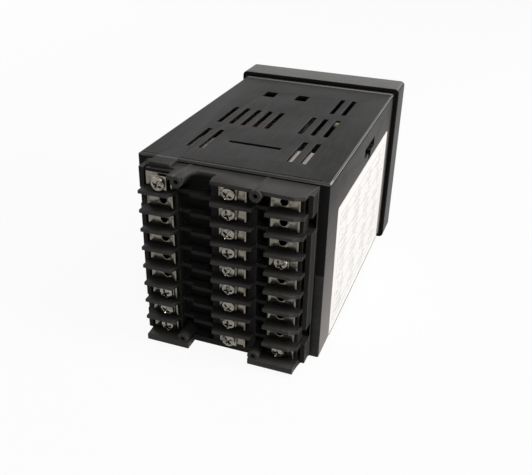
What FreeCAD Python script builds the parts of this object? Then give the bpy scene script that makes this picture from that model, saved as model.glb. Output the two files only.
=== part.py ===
"""Panel-mounted PID temperature controller: 96 x 96 mm bezel, vented case and rear screw terminal block.

Frame, in millimetres: the origin is the centre of the bezel's back face, which seats on the panel.
+Y runs back through the case to the terminals, +Z is up and the display faces -Y.
"""
import FreeCAD, Part
import os

import Sketcher

V = FreeCAD.Vector
doc = FreeCAD.newDocument("pid_temperature_controller")

# ---------------------------------------------------------------------------
# Driving dimensions
# ---------------------------------------------------------------------------
ROWS = 9
SIZES = [
    # case
    ("case_width", 90.0), ("case_height", 90.5), ("case_depth", 135.0), ("case_wall", 2.0),
    ("case_corner", 1.0), ("rim_width", 4.2), ("rim_depth", 5.0), ("fit_gap", 0.3),
    ("lid_thick", 1.2), ("lid_border", 5.0), ("lid_front", 10.0), ("lid_end", 17.0),
    ("lid_rear", "=case_depth - lid_end"),
    ("tongue_left", 36.0), ("tongue_right", 25.5), ("tongue_reach", 7.5), ("tongue_thick", 1.4),
    ("lip_groove", 0.6), ("lip_groove_depth", 0.5), ("lip_set_back", 1.6),
    # vents through the top and the bottom of the case
    ("slot_width", 2.7), ("slot_length", 25.8), ("slot_pitch", 6.35),
    ("left_grid", 28.1), ("right_grid", -14.9), ("slots_inset", 29.1),
    ("rear_slots_at", "=case_depth - slots_inset"), ("middle_slots_at", 70.2),
    ("front_slots_at", 35.4), ("window_wide", 7.0), ("window_long", 9.2), ("window_pitch", 18.6),
    ("window_left", 19.6), ("windows_at", 29.3), ("cross_slot_length", 26.2), ("cross_slot_width", 2.6),
    # slots for the mounting clamps, one in each side of the case
    ("clamp_slot_front", 45.0), ("clamp_slot_rear", 67.5), ("clamp_slot_top", 35.5),
    ("clamp_slot_tall", 5.1), ("clamp_notch_front", 52.5), ("clamp_notch_rear", 58.5), ("clamp_notch_tall", 3.5),
    # bezel and front; what follows from another size is written as a formula
    ("bezel_size", 96.0), ("bezel_depth", 20.5), ("bezel_corner", 2.5), ("bezel_edge", 1.0),
    ("front_edge", 2.2), ("seat_recess", 1.0), ("opening_border", 8.5), ("rebate_border", 4.0),
    ("bezel_opening", "=bezel_size - 2 * opening_border"), ("rebate_size", "=bezel_size - 2 * rebate_border"),
    ("rebate_depth", 2.0), ("collar_length", 6.0), ("collar_wall", 2.4),
    ("panel_gap", 0.2), ("window_side_border", 8.0), ("window_top_border", 11.0), ("window_height", 38.0),
    ("window_width", "=rebate_size - 2 * window_side_border"),
    ("window_rise", "=rebate_size / 2 - window_top_border - window_height / 2"),
    ("lens_thick", 1.2), ("lens_border", 2.0),
    ("key_width", 13.0), ("key_height", 8.0), ("key_pitch", 18.0), ("key_border", 13.0), ("key_proud", 0.8),
    ("key_drop", "=key_border - rebate_size / 2"),
    ("key_gap", 0.3), ("key_flange", 0.8), ("key_flange_thick", 1.0), ("key_travel", 0.6),
    ("key_round", 1.2), ("stem_width", 3.6),
    ("lamp_wide", 3.2), ("lamp_tall", 1.8), ("lamp_pitch", 12.0), ("lamp_rise", 15.0), ("lamp_proud", 0.4),
    ("lamp_gap", 0.1), ("lamp_drop", "=key_drop + lamp_rise"),
    # boards
    ("board_thick", 1.6), ("display_board_at", 11.0), ("board_border", 5.5), ("terminal_board_gap", 0.3),
    ("side_board_x", "=bezel_opening / 2 - board_border"),
    ("pv_width", 62.0), ("pv_height", 19.0), ("pv_lift", 7.0), ("sv_width", 46.0), ("sv_height", 12.0),
    ("sv_fall", 10.0), ("pv_rise", "=window_rise + pv_lift"), ("sv_rise", "=window_rise - sv_fall"),
    ("display_gap", 0.3), ("switch_size", 6.0), ("switch_tall", 3.4),
    # terminal block: heights
    ("fin_thick", 1.6), ("roof_thick", 1.8), ("roof_drop", 1.75), ("foot_thick", 3.0),
    ("top_fin_height", "=case_height / 2 - roof_drop"),
    ("row_pitch", "=(top_fin_height + case_height / 2 - foot_thick) / %d" % ROWS),
    # terminal block: how far its parts stand back from the case
    ("block_inset", 12.0), ("floor_back", 2.0), ("pedestal_back", 8.5), ("tip_back", 16.5), ("fin_back", 14.8),
    ("boss_back", 15.3), ("slope_back", 10.0), ("side_shelf_back", 6.5), ("channel_back", 9.2),
    ("narrow_channel_back", 8.6), ("middle_tip_back", 13.2), ("corner_back", 12.2),
    ("cover_top_back", 6.6), ("roof_notch_back", 5.6), ("roof_left_back", 12.8), ("foot_gap_back", 9.0),
    # terminal block: sideways places
    ("root_half_width", 40.4), ("tip_half_width", 38.0), ("foot_half_width", 37.1), ("side_curve", 40.0),
    ("pedestal_half_width", 36.8), ("side_wall_inner", 38.2), ("corner_width", 4.0),
    ("left_column_inner", 24.0), ("slope_foot", 22.0), ("side_shelf_left", 21.5), ("side_shelf_right", 16.5),
    ("channel_left", 15.4), ("middle_column_left", 5.5), ("middle_tip_left", 3.6), ("middle_tip_right", -14.5),
    ("middle_column_right", -15.8), ("right_column_inner", -21.3), ("open_cell_inner", 23.4),
    ("notch_round", 4.0), ("notch_outer", 15.8), ("notch_inner", 4.2),
    ("foot_gap_left", 15.3), ("foot_gap_right", -15.0), ("latch_depth", 12.0),
    # bosses that take the screws of a terminal cover
    ("boss_left", 19.0), ("boss_right", -17.2), ("boss_inset", 4.1), ("boss_radius", 2.7),
    ("boss_hole_radius", 1.1), ("boss_hole_depth", 7.0),
    # terminals
    ("left_terminal", 29.7), ("middle_terminal", -5.1), ("right_terminal", -28.9),
    ("left_hole_shift", -1.3), ("middle_hole_shift", 1.5), ("right_hole_shift", 0.8),
    ("plate_width", 13.4), ("plate_height", 6.4), ("plate_thick", 1.0), ("plate_gap", 0.32), ("lug_rise", 1.4),
    ("thread_radius", 1.75), ("thread_slack", 0.02), ("pilot_width", 4.0), ("pilot_depth", 5.0),
    ("washer_gap", 0.45), ("washer_size", "=row_pitch - fin_thick - 2 * washer_gap"), ("washer_thick", 0.9),
    ("head_radius", 3.3), ("head_tall", 2.3), ("head_crown", 0.8), ("screw_length", 5.1), ("loose_by", 2.3),
    # label on the case's right wall, as seen from behind
    ("label_front", 8.0), ("label_rear", 118.0), ("label_bottom", -44.6), ("label_top", 26.0),
    ("label_corner", 2.0), ("label_thick", 0.2),
    # parts on the boards
    ("relay_length", 19.0), ("relay_tall", 15.6), ("relay_deep", 20.2), ("relay_inset", 20.0),
    ("relay_drop", 3.75), ("relay_round", 0.6), ("relay_low_drop", 24.0),
    ("relay_rear", "=case_depth - relay_inset"), ("relay_top", "=case_height / 2 - relay_drop"),
    ("core_length", 34.0), ("core_tall", 36.0), ("core_deep", 24.0), ("core_front", 24.0), ("core_drop", 3.25),
    ("core_top", "=case_height / 2 - core_drop"),
    ("core_limb", 6.0), ("core_stack", 12.0), ("coil_gap", 0.3),
    ("film_length", 18.0), ("film_tall", 8.0), ("film_deep", 21.0), ("film_front", 62.0), ("film_drop", 5.75),
    ("film_top", "=case_height / 2 - film_drop"),
    ("filter_radius", 8.0), ("filter_long", 25.0), ("filter_at", 78.0), ("filter_height", -12.0),
    ("output_radius", 5.0), ("output_long", 16.0), ("output_at", 50.0), ("output_height", -26.0),
    ("can_edge", 0.8),
    ("sink_front", 48.0), ("sink_rear", 78.0), ("sink_foot", -14.0), ("sink_drop", 3.25), ("sink_thick", 1.4),
    ("sink_top", "=case_height / 2 - sink_drop"),
    ("sink_reach", 22.6), ("tab_thick", 4.4), ("tab_wide", 10.0), ("tab_tall", 15.0),
    ("chip_size", 14.0), ("chip_thick", 1.6), ("chip_at", 35.0), ("header_long", 40.0), ("header_wide", 5.0),
    ("opto_long", 9.0), ("opto_wide", 6.4), ("opto_thick", 3.4), ("opto_pitch", 13.0),
    ("opto_at", 98.0),
    ("poly_length", 14.0), ("poly_tall", 8.0), ("poly_deep", 15.0), ("poly_front", 40.0),
    ("poly_drop", 5.75), ("poly_top", "=case_height / 2 - poly_drop"),
]

sheet = doc.addObject("Spreadsheet::Sheet", "Sizes")
for row, (alias, value) in enumerate(SIZES, start=1):
    sheet.set("A%d" % row, alias)
    sheet.set("B%d" % row, str(value))
    sheet.setAlias("B%d" % row, alias)
doc.recompute()

NODES = []
FULL_TURN = 360.0
CLOSE = 1e-6
LEAST_CUT = 1e-3

# Places that several pieces share, written once in terms of the sizes.
REAR = "Sizes.case_depth"
FLOOR = "(Sizes.case_depth + Sizes.floor_back)"
SEAT = "(Sizes.case_depth + Sizes.pedestal_back)"
CASE_FRONT = "(-Sizes.seat_recess)"
TIP = "(Sizes.case_depth + Sizes.tip_back)"
PLATE_FACE = "(Sizes.case_depth + Sizes.pedestal_back + Sizes.plate_thick)"
FIN_TIP = "(Sizes.case_depth + Sizes.fin_back)"
HALF_H = "(Sizes.case_height / 2)"
HALF_W = "(Sizes.case_width / 2)"
FRONT_PLANE = "(-Sizes.bezel_depth)"
PANEL_BACK = "(-Sizes.bezel_depth + Sizes.rebate_depth)"
BOARD_FRONT = "(-Sizes.display_board_at)"
BOARD_HALF_TALL = "(Sizes.case_height / 2 - Sizes.case_wall - 2 * Sizes.fit_gap - Sizes.collar_wall)"
TERMINAL_BOARD_BACK = "(Sizes.case_depth - Sizes.block_inset - Sizes.terminal_board_gap)"
CELL_HALF = "(Sizes.row_pitch / 2 - Sizes.fin_thick / 2)"
FIRST_ROW = "(Sizes.top_fin_height - Sizes.fin_thick / 2 - Sizes.row_pitch / 2)"


def value_of(expression):
    """Number that an expression over the sizes gives now."""
    result = sheet.evalExpression(expression)
    return float(getattr(result, "Value", result))


def bind(thing, prop, expression):
    """Bind one property to an expression over the sizes."""
    thing.setExpression(prop, expression)


def place(thing, x="0", y="0", z="0"):
    """Bind a primitive's position to expressions over the sizes."""
    bind(thing, "Placement.Base.x", x)
    bind(thing, "Placement.Base.y", y)
    bind(thing, "Placement.Base.z", z)


def keep(thing, name):
    """Give a finished sub-part its name and list it for export."""
    thing.Label = name
    NODES.append(thing)
    return thing


def new_body(name):
    """Empty PartDesign body."""
    body = doc.addObject("PartDesign::Body", name)
    body.Label = name
    return body


def new_sketch(body, name, plane, offset="0"):
    """Sketch on one of the body's origin planes, moved along its normal.

    On XY the sketch axes are X and Y and the normal is +Z, on XZ they are X and Z with normal -Y,
    on YZ they are Y and Z with normal +X.
    """
    sketch = body.newObject("Sketcher::SketchObject", name)
    support = [f for f in body.Origin.OriginFeatures if f.Role == plane + "_Plane"][0]
    sketch.AttachmentSupport = [(support, "")]
    sketch.MapMode = "FlatFace"
    bind(sketch, "AttachmentOffset.Base.z", offset)
    return sketch


def pin_point(sketch, geometry, end, x, y):
    """Hold one end of a line or arc at a place given by two expressions."""
    for kind, expression in (("DistanceX", x), ("DistanceY", y)):
        number = sketch.addConstraint(Sketcher.Constraint(kind, -1, 1, geometry, end, value_of(expression)))
        sketch.setExpression("Constraints[%d]" % number, expression)


def add_outline(sketch, corners):
    """Closed outline through corners (x, y), or (x, y, radius, side) where a round side starts.

    A round side runs from its corner to the next with the given radius; side 1 bulges to the left of
    the way it runs and -1 to the right.
    """
    count = len(corners)
    spots = [V(value_of(c[0]), value_of(c[1]), 0) for c in corners]
    ends = []
    for i, corner in enumerate(corners):
        start, finish = spots[i], spots[(i + 1) % count]
        if len(corner) == 2:
            index = sketch.addGeometry(Part.LineSegment(start, finish), False)
            ends.append((index, 1, 2))
            continue
        radius, side = value_of(corner[2]), corner[3]
        chord = finish - start
        left = V(-chord.y, chord.x, 0).normalize()
        reach = (radius ** 2 - (chord.Length / 2) ** 2) ** 0.5
        top = start + chord / 2 + left * side * (radius - reach)
        arc = Part.Arc(start, top, finish)
        index = sketch.addGeometry(arc, False)
        forward = (sketch.getPoint(index, 1) - start).Length < (sketch.getPoint(index, 2) - start).Length
        ends.append((index, 1, 2) if forward else (index, 2, 1))
        number = sketch.addConstraint(Sketcher.Constraint("Radius", index, radius))
        sketch.setExpression("Constraints[%d]" % number, corner[2])
    for i in range(count):
        index, first, last = ends[i]
        following, its_first, _ = ends[(i + 1) % count]
        sketch.addConstraint(Sketcher.Constraint("Coincident", index, last, following, its_first))
        pin_point(sketch, index, first, corners[i][0], corners[i][1])


def add_rectangle(sketch, left, right, low, high):
    """Rectangle between four expressions."""
    add_outline(sketch, [(left, low), (right, low), (right, high), (left, high)])


def add_circle(sketch, x, y, radius):
    """Circle with its centre and radius bound."""
    index = sketch.addGeometry(Part.Circle(V(value_of(x), value_of(y), 0), V(0, 0, 1), value_of(radius)), False)
    pin_point(sketch, index, 3, x, y)
    number = sketch.addConstraint(Sketcher.Constraint("Radius", index, value_of(radius)))
    sketch.setExpression("Constraints[%d]" % number, radius)


def add_polygon(sketch, x, z, flat_radius, sides):
    """Regular polygon whose flats lie at the given radius from its centre."""
    corners = []
    for index in range(sides):
        turn = "%s deg" % (FULL_TURN * (index + 0.5) / sides)
        reach = "%s / cos(%s deg)" % (flat_radius, FULL_TURN / 2 / sides)
        corners.append(("%s + %s * cos(%s)" % (x, reach, turn), "%s + %s * sin(%s)" % (z, reach, turn)))
    add_outline(sketch, corners)


def rectangle_sketch(body, name, plane, offset, left, right, low, high):
    """Sketch with one rectangle."""
    sketch = new_sketch(body, name, plane, offset)
    add_rectangle(sketch, left, right, low, high)
    return sketch


def pad(body, sketch, length, reverse=False):
    """Pad along the sketch normal, or against it."""
    feature = body.newObject("PartDesign::Pad", sketch.Name + "_pad")
    feature.Profile = sketch
    feature.Reversed = reverse
    bind(feature, "Length", length)
    return feature


def pocket(body, sketch, length, reverse=False):
    """Pocket against the sketch normal, or along it, checked to have cut something."""
    doc.recompute()
    before = body.Shape.Volume
    feature = body.newObject("PartDesign::Pocket", sketch.Name + "_cut")
    feature.Profile = sketch
    feature.Reversed = reverse
    bind(feature, "Length", length)
    doc.recompute()
    if body.Shape.Volume > before - LEAST_CUT:
        raise ValueError("%s cut nothing" % feature.Name)
    return feature


def pattern(body, features, axis, length, count):
    """Linear pattern of features along one of the body's origin axes."""
    feature = body.newObject("PartDesign::LinearPattern", features[0].Name + "_row")
    feature.Originals = features
    line = [f for f in body.Origin.OriginFeatures if f.Role == axis + "_Axis"][0]
    feature.Direction = (line, [""])
    bind(feature, "Length", length)
    feature.Occurrences = count
    body.Tip = feature
    return feature


def edges_along(shape, direction, near):
    """Names of the straight edges that run along a direction and whose middle passes a test."""
    names = []
    for number, edge in enumerate(shape.Edges, start=1):
        if edge.Curve.TypeId != "Part::GeomLine":
            continue
        way = (edge.Vertexes[-1].Point - edge.Vertexes[0].Point).normalize()
        if abs(abs(way.dot(direction)) - 1) < CLOSE and near(edge.CenterOfMass):
            names.append("Edge%d" % number)
    return names


def dress_names(body, kind, size, names):
    """Fillet or chamfer named edges of the body as it stands; kind is "Fillet" or "Chamfer"."""
    if not names:
        raise ValueError("%s has no edge to dress" % body.Label)
    base = body.Tip
    feature = body.newObject("PartDesign::" + kind, "%s_%s" % (body.Name, kind.lower()))
    feature.Base = (base, names)
    bind(feature, "Radius" if kind == "Fillet" else "Size", size)
    return feature


def dress_rim(body, kind, size, plane, least=0.0):
    """Fillet or chamfer the edges that lie in the plane y = plane, further from the axis than least."""
    doc.recompute()
    level = value_of(plane)
    names = []
    for number, edge in enumerate(body.Shape.Edges, start=1):
        spots = [vertex.Point for vertex in edge.Vertexes] + [edge.CenterOfMass]
        if all(abs(spot.y - level) < CLOSE for spot in spots) and V(spots[-1].x, 0, spots[-1].z).Length > least:
            names.append("Edge%d" % number)
    return dress_names(body, kind, size, names)


def dress(body, kind, size, choose):
    """Fillet or chamfer the straight edges of the body that run along a direction and pass a test.

    kind is "Fillet" or "Chamfer"; choose is a direction with a test of the edge's middle.
    """
    doc.recompute()
    return dress_names(body, kind, size, edges_along(body.Shape, choose[0], choose[1]))


def moulded_box(name, x0, x1, y0, y1, z0, z1, rounding):
    """Box-shaped moulding whose edges along Y are rounded."""
    body = new_body(name)
    pad(body, rectangle_sketch(body, name + "_section", "XZ", "-(%s)" % y0, x0, x1, z0, z1),
        "(%s) - (%s)" % (y1, y0), reverse=True)
    dress(body, "Fillet", rounding, (V(0, 1, 0), lambda middle: True))
    return keep(body, name)


def seated(thing):
    """Compound that holds a piece where it stands, so that copies of it can be moved as one."""
    holder = doc.addObject("Part::Compound", thing.Name + "_seated")
    holder.Links = [thing]
    return holder


def copies(name, master, spots):
    """One node that holds a copy of a master piece at each spot (x, y, z)."""
    links = []
    for number, spot in enumerate(spots, start=1):
        link = doc.addObject("App::Link", "%s_%d" % (name, number))
        link.LinkedObject = master
        place(link, *spot)
        links.append(link)
    group = doc.addObject("Part::Compound", name)
    group.Links = links
    return keep(group, name)


def box(name, x0, x1, y0, y1, z0, z1):
    """Part box between six expressions."""
    thing = doc.addObject("Part::Box", name)
    bind(thing, "Length", "(%s) - (%s)" % (x1, x0))
    bind(thing, "Width", "(%s) - (%s)" % (y1, y0))
    bind(thing, "Height", "(%s) - (%s)" % (z1, z0))
    place(thing, x0, y0, z0)
    return thing


# ---------------------------------------------------------------------------
# Case and bezel
# ---------------------------------------------------------------------------
def cut_vents(body, name, first, at, count, width="Sizes.slot_width", length="Sizes.slot_length",
              pitch="Sizes.slot_pitch"):
    """Row of slots cut down through the top and the bottom walls, the first one furthest to the left."""
    sketch = rectangle_sketch(
        body, name, "XY", HALF_H,
        "%s - %s / 2" % (first, width), "%s + %s / 2" % (first, width),
        "%s - %s / 2" % (at, length), "%s + %s / 2" % (at, length))
    cut = pocket(body, sketch, "Sizes.case_height")
    if count > 1:
        row = pattern(body, [cut], "X", "%d * %s" % (count - 1, pitch), count)
        row.Reversed = True


def make_housing():
    """Case: a rectangular tube with a thinned and vented lid, clamp slots, a thicker rear rim and a stepped
    rear edge."""
    body = new_body("housing")
    front = "-" + CASE_FRONT
    outline = rectangle_sketch(body, "case_outline", "XZ", front, "-" + HALF_W, HALF_W, "-" + HALF_H, HALF_H)
    pad(body, outline, "%s - %s" % (REAR, CASE_FRONT), reverse=True)
    dress(body, "Fillet", "Sizes.case_corner", (V(0, 1, 0), lambda middle: True))
    rim_x, inside_x = HALF_W + " - Sizes.rim_width", HALF_W + " - Sizes.case_wall"
    inside_z = HALF_H + " - Sizes.case_wall"
    pocket(body, rectangle_sketch(body, "rim_way", "XZ", front, "-(%s)" % rim_x, rim_x,
                                  "-(%s)" % inside_z, inside_z), "%s - %s" % (REAR, CASE_FRONT))
    pocket(body, rectangle_sketch(body, "hollow", "XZ", front, "-(%s)" % inside_x, inside_x,
                                  "-(%s)" % inside_z, inside_z), "%s - %s - Sizes.rim_depth" % (REAR, CASE_FRONT))
    tongue = rectangle_sketch(body, "tongue", "XY", HALF_H + " - Sizes.tongue_thick",
                              "Sizes.tongue_right", "Sizes.tongue_left",
                              REAR + " - Sizes.case_wall", REAR + " + Sizes.tongue_reach")
    pad(body, tongue, "Sizes.tongue_thick")
    lip_rear = REAR + " - Sizes.lip_set_back"
    lips = new_sketch(body, "lips", "XY", HALF_H)
    add_rectangle(lips, "-(%s)" % rim_x, "Sizes.tongue_right", lip_rear + " - Sizes.lip_groove", lip_rear)
    add_rectangle(lips, "Sizes.tongue_left", HALF_W + " - Sizes.case_corner",
                  lip_rear + " - Sizes.lip_groove", lip_rear)
    pocket(body, lips, "Sizes.lip_groove_depth")
    lid_side = inside_x + " - Sizes.lid_border"
    pocket(body, rectangle_sketch(body, "lid_recess", "XY", HALF_H + " - Sizes.lid_thick",
                                  "-(%s)" % lid_side, lid_side, "Sizes.lid_front", "Sizes.lid_rear"),
           "Sizes.case_wall - Sizes.lid_thick")
    cut_vents(body, "rear_left_slots", "Sizes.left_grid", "Sizes.rear_slots_at", 2)
    cut_vents(body, "rear_right_slots", "(Sizes.right_grid - Sizes.slot_pitch)", "Sizes.rear_slots_at", 2)
    cut_vents(body, "middle_left_slots", "Sizes.left_grid", "Sizes.middle_slots_at", 5)
    cut_vents(body, "middle_right_slots", "Sizes.right_grid", "Sizes.middle_slots_at", 3)
    cut_vents(body, "front_slots", "(Sizes.right_grid - Sizes.slot_pitch)", "Sizes.front_slots_at", 2)
    cut_vents(body, "front_windows", "Sizes.window_left", "Sizes.windows_at", 2,
              "Sizes.window_wide", "Sizes.window_long", "Sizes.window_pitch")
    cut_vents(body, "cross_slot", "0", "Sizes.rear_slots_at", 1,
              "Sizes.cross_slot_length", "Sizes.cross_slot_width")
    low = "(Sizes.clamp_slot_top - Sizes.clamp_slot_tall)"
    notch_low = "(%s - Sizes.clamp_notch_tall)" % low
    clamp = new_sketch(body, "clamp_slot", "YZ", HALF_W)
    add_outline(clamp, [
        ("Sizes.clamp_slot_front", "Sizes.clamp_slot_top"),
        ("Sizes.clamp_slot_front", low),
        ("Sizes.clamp_notch_front", low),
        ("Sizes.clamp_notch_front", notch_low),
        ("Sizes.clamp_notch_rear", notch_low),
        ("Sizes.clamp_notch_rear", low),
        ("Sizes.clamp_slot_rear", low),
        ("Sizes.clamp_slot_rear", "Sizes.clamp_slot_top"),
    ])
    pocket(body, clamp, "Sizes.case_width")
    return keep(body, "housing")


def make_bezel():
    """Front frame: rounded square ring with a rebate for the panel, a collar that enters the case and a
    shallow recess that takes the case's front edge."""
    body = new_body("bezel")
    half, opening, rebate = "Sizes.bezel_size / 2", "Sizes.bezel_opening / 2", "Sizes.rebate_size / 2"
    outline = rectangle_sketch(body, "bezel_outline", "XZ", "0", "-" + half, half, "-" + half, half)
    pad(body, outline, "Sizes.bezel_depth")
    dress(body, "Fillet", "Sizes.bezel_corner", (V(0, 1, 0), lambda middle: True))
    dress_rim(body, "Fillet", "Sizes.bezel_edge", "0")
    dress_rim(body, "Fillet", "Sizes.front_edge", FRONT_PLANE)
    pocket(body, rectangle_sketch(body, "opening", "XZ", "Sizes.bezel_depth", "-" + opening, opening,
                                  "-" + opening, opening), "Sizes.bezel_depth")
    pocket(body, rectangle_sketch(body, "rebate", "XZ", "Sizes.bezel_depth", "-" + rebate, rebate,
                                  "-" + rebate, rebate), "Sizes.rebate_depth")
    out_x, out_z = (h + " - Sizes.case_wall - Sizes.fit_gap" for h in (HALF_W, HALF_H))
    in_x, in_z = (o + " - Sizes.collar_wall" for o in (out_x, out_z))
    seat_x, seat_z = (h + " + Sizes.fit_gap" for h in (HALF_W, HALF_H))
    recess = new_sketch(body, "seat_recess", "XZ", "0")
    add_rectangle(recess, "-(%s)" % seat_x, seat_x, "-(%s)" % seat_z, seat_z)
    add_rectangle(recess, "-(%s)" % out_x, out_x, "-(%s)" % out_z, out_z)
    pocket(body, recess, "Sizes.seat_recess", reverse=True)
    collar = new_sketch(body, "collar", "XZ", "0")
    add_rectangle(collar, "-(%s)" % out_x, out_x, "-(%s)" % out_z, out_z)
    add_rectangle(collar, "-(%s)" % in_x, in_x, "-(%s)" % in_z, in_z)
    pad(body, collar, "Sizes.collar_length", reverse=True)
    return keep(body, "bezel")


# ---------------------------------------------------------------------------
# Front panel, window, keys and lamps
# ---------------------------------------------------------------------------
KEYS = ["key_set", "key_shift", "key_down", "key_up"]
LAMPS = 6


def key_x(index):
    """Sideways place of one key, as an expression."""
    return "%s * Sizes.key_pitch" % (index - (len(KEYS) - 1) / 2)


def lamp_x(index):
    """Sideways place of one indicator, as an expression."""
    return "%s * Sizes.lamp_pitch" % (index - (LAMPS - 1) / 2)


def make_front_panel():
    """Plate in the bezel's rebate with the window, key and indicator openings."""
    body = new_body("front_panel")
    half = "(Sizes.rebate_size / 2 - Sizes.panel_gap)"
    plate = rectangle_sketch(body, "panel_outline", "XZ", "-" + PANEL_BACK, "-" + half, half, "-" + half, half)
    pad(body, plate, "Sizes.rebate_depth")
    wide, tall = "Sizes.window_width / 2", "Sizes.window_height / 2"
    border = "Sizes.lens_border"
    pocket(body, rectangle_sketch(body, "lens_seat", "XZ", "Sizes.bezel_depth", "-" + wide, wide,
                                  "Sizes.window_rise - " + tall, "Sizes.window_rise + " + tall),
           "Sizes.lens_thick")
    pocket(body, rectangle_sketch(body, "window_hole", "XZ", "Sizes.bezel_depth",
                                  "-(%s - %s)" % (wide, border), "%s - %s" % (wide, border),
                                  "Sizes.window_rise - %s + %s" % (tall, border),
                                  "Sizes.window_rise + %s - %s" % (tall, border)), "Sizes.rebate_depth")
    hole_x, hole_z = ("(Sizes.key_%s / 2 + Sizes.key_gap)" % side for side in ("width", "height"))
    keys = new_sketch(body, "key_holes", "XZ", "Sizes.bezel_depth")
    for index in range(len(KEYS)):
        add_rectangle(keys, "%s - %s" % (key_x(index), hole_x), "%s + %s" % (key_x(index), hole_x),
                      "Sizes.key_drop - " + hole_z, "Sizes.key_drop + " + hole_z)
    pocket(body, keys, "Sizes.rebate_depth")
    lamps = new_sketch(body, "lamp_holes", "XZ", "Sizes.bezel_depth")
    slot_x, slot_z = ("(Sizes.lamp_%s / 2 + Sizes.lamp_gap)" % side for side in ("wide", "tall"))
    for index in range(LAMPS):
        add_rectangle(lamps, "%s - %s" % (lamp_x(index), slot_x), "%s + %s" % (lamp_x(index), slot_x),
                      "Sizes.lamp_drop - " + slot_z, "Sizes.lamp_drop + " + slot_z)
    pocket(body, lamps, "Sizes.rebate_depth")
    return keep(body, "front_panel")


def make_display_window():
    """Smoked window set in the panel's seat."""
    wide, tall = ("(Sizes.window_%s / 2 - Sizes.panel_gap)" % side for side in ("width", "height"))
    return keep(box("display_window", "-" + wide, wide, FRONT_PLANE, FRONT_PLANE + " + Sizes.lens_thick",
                    "Sizes.window_rise - " + tall, "Sizes.window_rise + " + tall), "display_window")


def make_key(index, name):
    """One key: a rounded cap, a flange that keeps it behind the panel and a stem towards its switch."""
    body = new_body(name)
    wide, tall = "Sizes.key_width / 2", "Sizes.key_height / 2"
    flange_front = "(%s + Sizes.panel_gap)" % PANEL_BACK
    cap = rectangle_sketch(body, name + "_cap", "XZ", "-" + flange_front, "-" + wide, wide, "-" + tall, tall)
    pad(body, cap, "%s + Sizes.bezel_depth + Sizes.key_proud" % flange_front)
    dress(body, "Fillet", "Sizes.key_round", (V(0, 1, 0), lambda middle: True))
    flange = rectangle_sketch(body, name + "_flange", "XZ", "-" + flange_front,
                              "-(%s + Sizes.key_flange)" % wide, wide + " + Sizes.key_flange",
                              "-(%s + Sizes.key_flange)" % tall, tall + " + Sizes.key_flange")
    pad(body, flange, "Sizes.key_flange_thick", reverse=True)
    side = "Sizes.stem_width / 2"
    stem = rectangle_sketch(body, name + "_stem", "XZ", "-(%s + Sizes.key_flange_thick)" % flange_front,
                            "-" + side, side, "-" + side, side)
    pad(body, stem, "%s - Sizes.switch_tall - Sizes.key_travel - Sizes.fit_gap - (%s + Sizes.key_flange_thick)"
        % (BOARD_FRONT, flange_front), reverse=True)
    place(body, key_x(index), "0", "Sizes.key_drop")
    return keep(body, name)


def make_lamps():
    """Indicator lenses that stand on the display board and end just proud of the panel."""
    lamp = box("lamp", "-Sizes.lamp_wide / 2", "Sizes.lamp_wide / 2", FRONT_PLANE + " - Sizes.lamp_proud",
               BOARD_FRONT, "-Sizes.lamp_tall / 2", "Sizes.lamp_tall / 2")
    return copies("indicator_lenses", seated(lamp),
                  [(lamp_x(index), "0", "Sizes.lamp_drop") for index in range(LAMPS)])


# ---------------------------------------------------------------------------
# Terminal block and terminals
# ---------------------------------------------------------------------------
SIDE = "Sizes.side_curve"
COLUMNS = ("left", "middle", "right")
HOLE_SIDES = 8
HEAD_SIDES = 12
PLATE_LIFT = "(%s - Sizes.plate_gap - Sizes.plate_height / 2)" % CELL_HALF


def screw_x(column):
    """Sideways place of a column's screws, as an expression."""
    return "(Sizes.%s_terminal + Sizes.%s_hole_shift)" % (column, column)


def row_z(row):
    """Height of the middle of a terminal row; row 1 is the top one."""
    return "(%s - %d * Sizes.row_pitch)" % (FIRST_ROW, row - 1)


def fin_outline():
    """Plan of one fin: left column, wide wiring channel, middle column, narrow channel, right column."""
    corner = "(-Sizes.tip_half_width + Sizes.corner_width)"
    return [
        ("Sizes.root_half_width", REAR, SIDE, 1),
        ("Sizes.tip_half_width", FIN_TIP),
        ("Sizes.left_column_inner", FIN_TIP),
        ("Sizes.slope_foot", REAR + " + Sizes.slope_back"),
        ("Sizes.side_shelf_left", REAR + " + Sizes.side_shelf_back"),
        ("Sizes.side_shelf_right", REAR + " + Sizes.side_shelf_back"),
        ("Sizes.channel_left", REAR + " + Sizes.channel_back"),
        ("Sizes.middle_column_left", REAR + " + Sizes.channel_back"),
        ("Sizes.middle_tip_left", FIN_TIP),
        ("Sizes.middle_tip_right", REAR + " + Sizes.middle_tip_back"),
        ("Sizes.middle_column_right", REAR + " + Sizes.narrow_channel_back"),
        ("Sizes.right_column_inner", REAR + " + Sizes.narrow_channel_back"),
        ("Sizes.right_column_inner", FIN_TIP),
        (corner, FIN_TIP),
        ("-Sizes.tip_half_width", REAR + " + Sizes.corner_back", SIDE, 1),
        ("-Sizes.root_half_width", REAR),
    ]


def roof_outline():
    """Plan of the roof: cut back over the first left terminal and notched over the wide channel."""
    notch = REAR + " + Sizes.roof_notch_back"
    top_rear = REAR + " + Sizes.cover_top_back"
    return [
        ("Sizes.root_half_width", REAR),
        ("Sizes.pedestal_half_width", top_rear),
        ("Sizes.open_cell_inner", top_rear),
        ("Sizes.open_cell_inner", FIN_TIP),
        ("Sizes.notch_outer", FIN_TIP),
        ("Sizes.notch_outer", notch + " + Sizes.notch_round", "Sizes.notch_round", 1),
        ("Sizes.notch_outer - Sizes.notch_round", notch),
        ("Sizes.notch_inner", notch),
        ("Sizes.notch_inner", REAR + " + Sizes.roof_left_back"),
        ("-Sizes.tip_half_width + Sizes.corner_width", FIN_TIP),
        ("-Sizes.tip_half_width", REAR + " + Sizes.corner_back", SIDE, 1),
        ("-Sizes.root_half_width", REAR),
    ]


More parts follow.
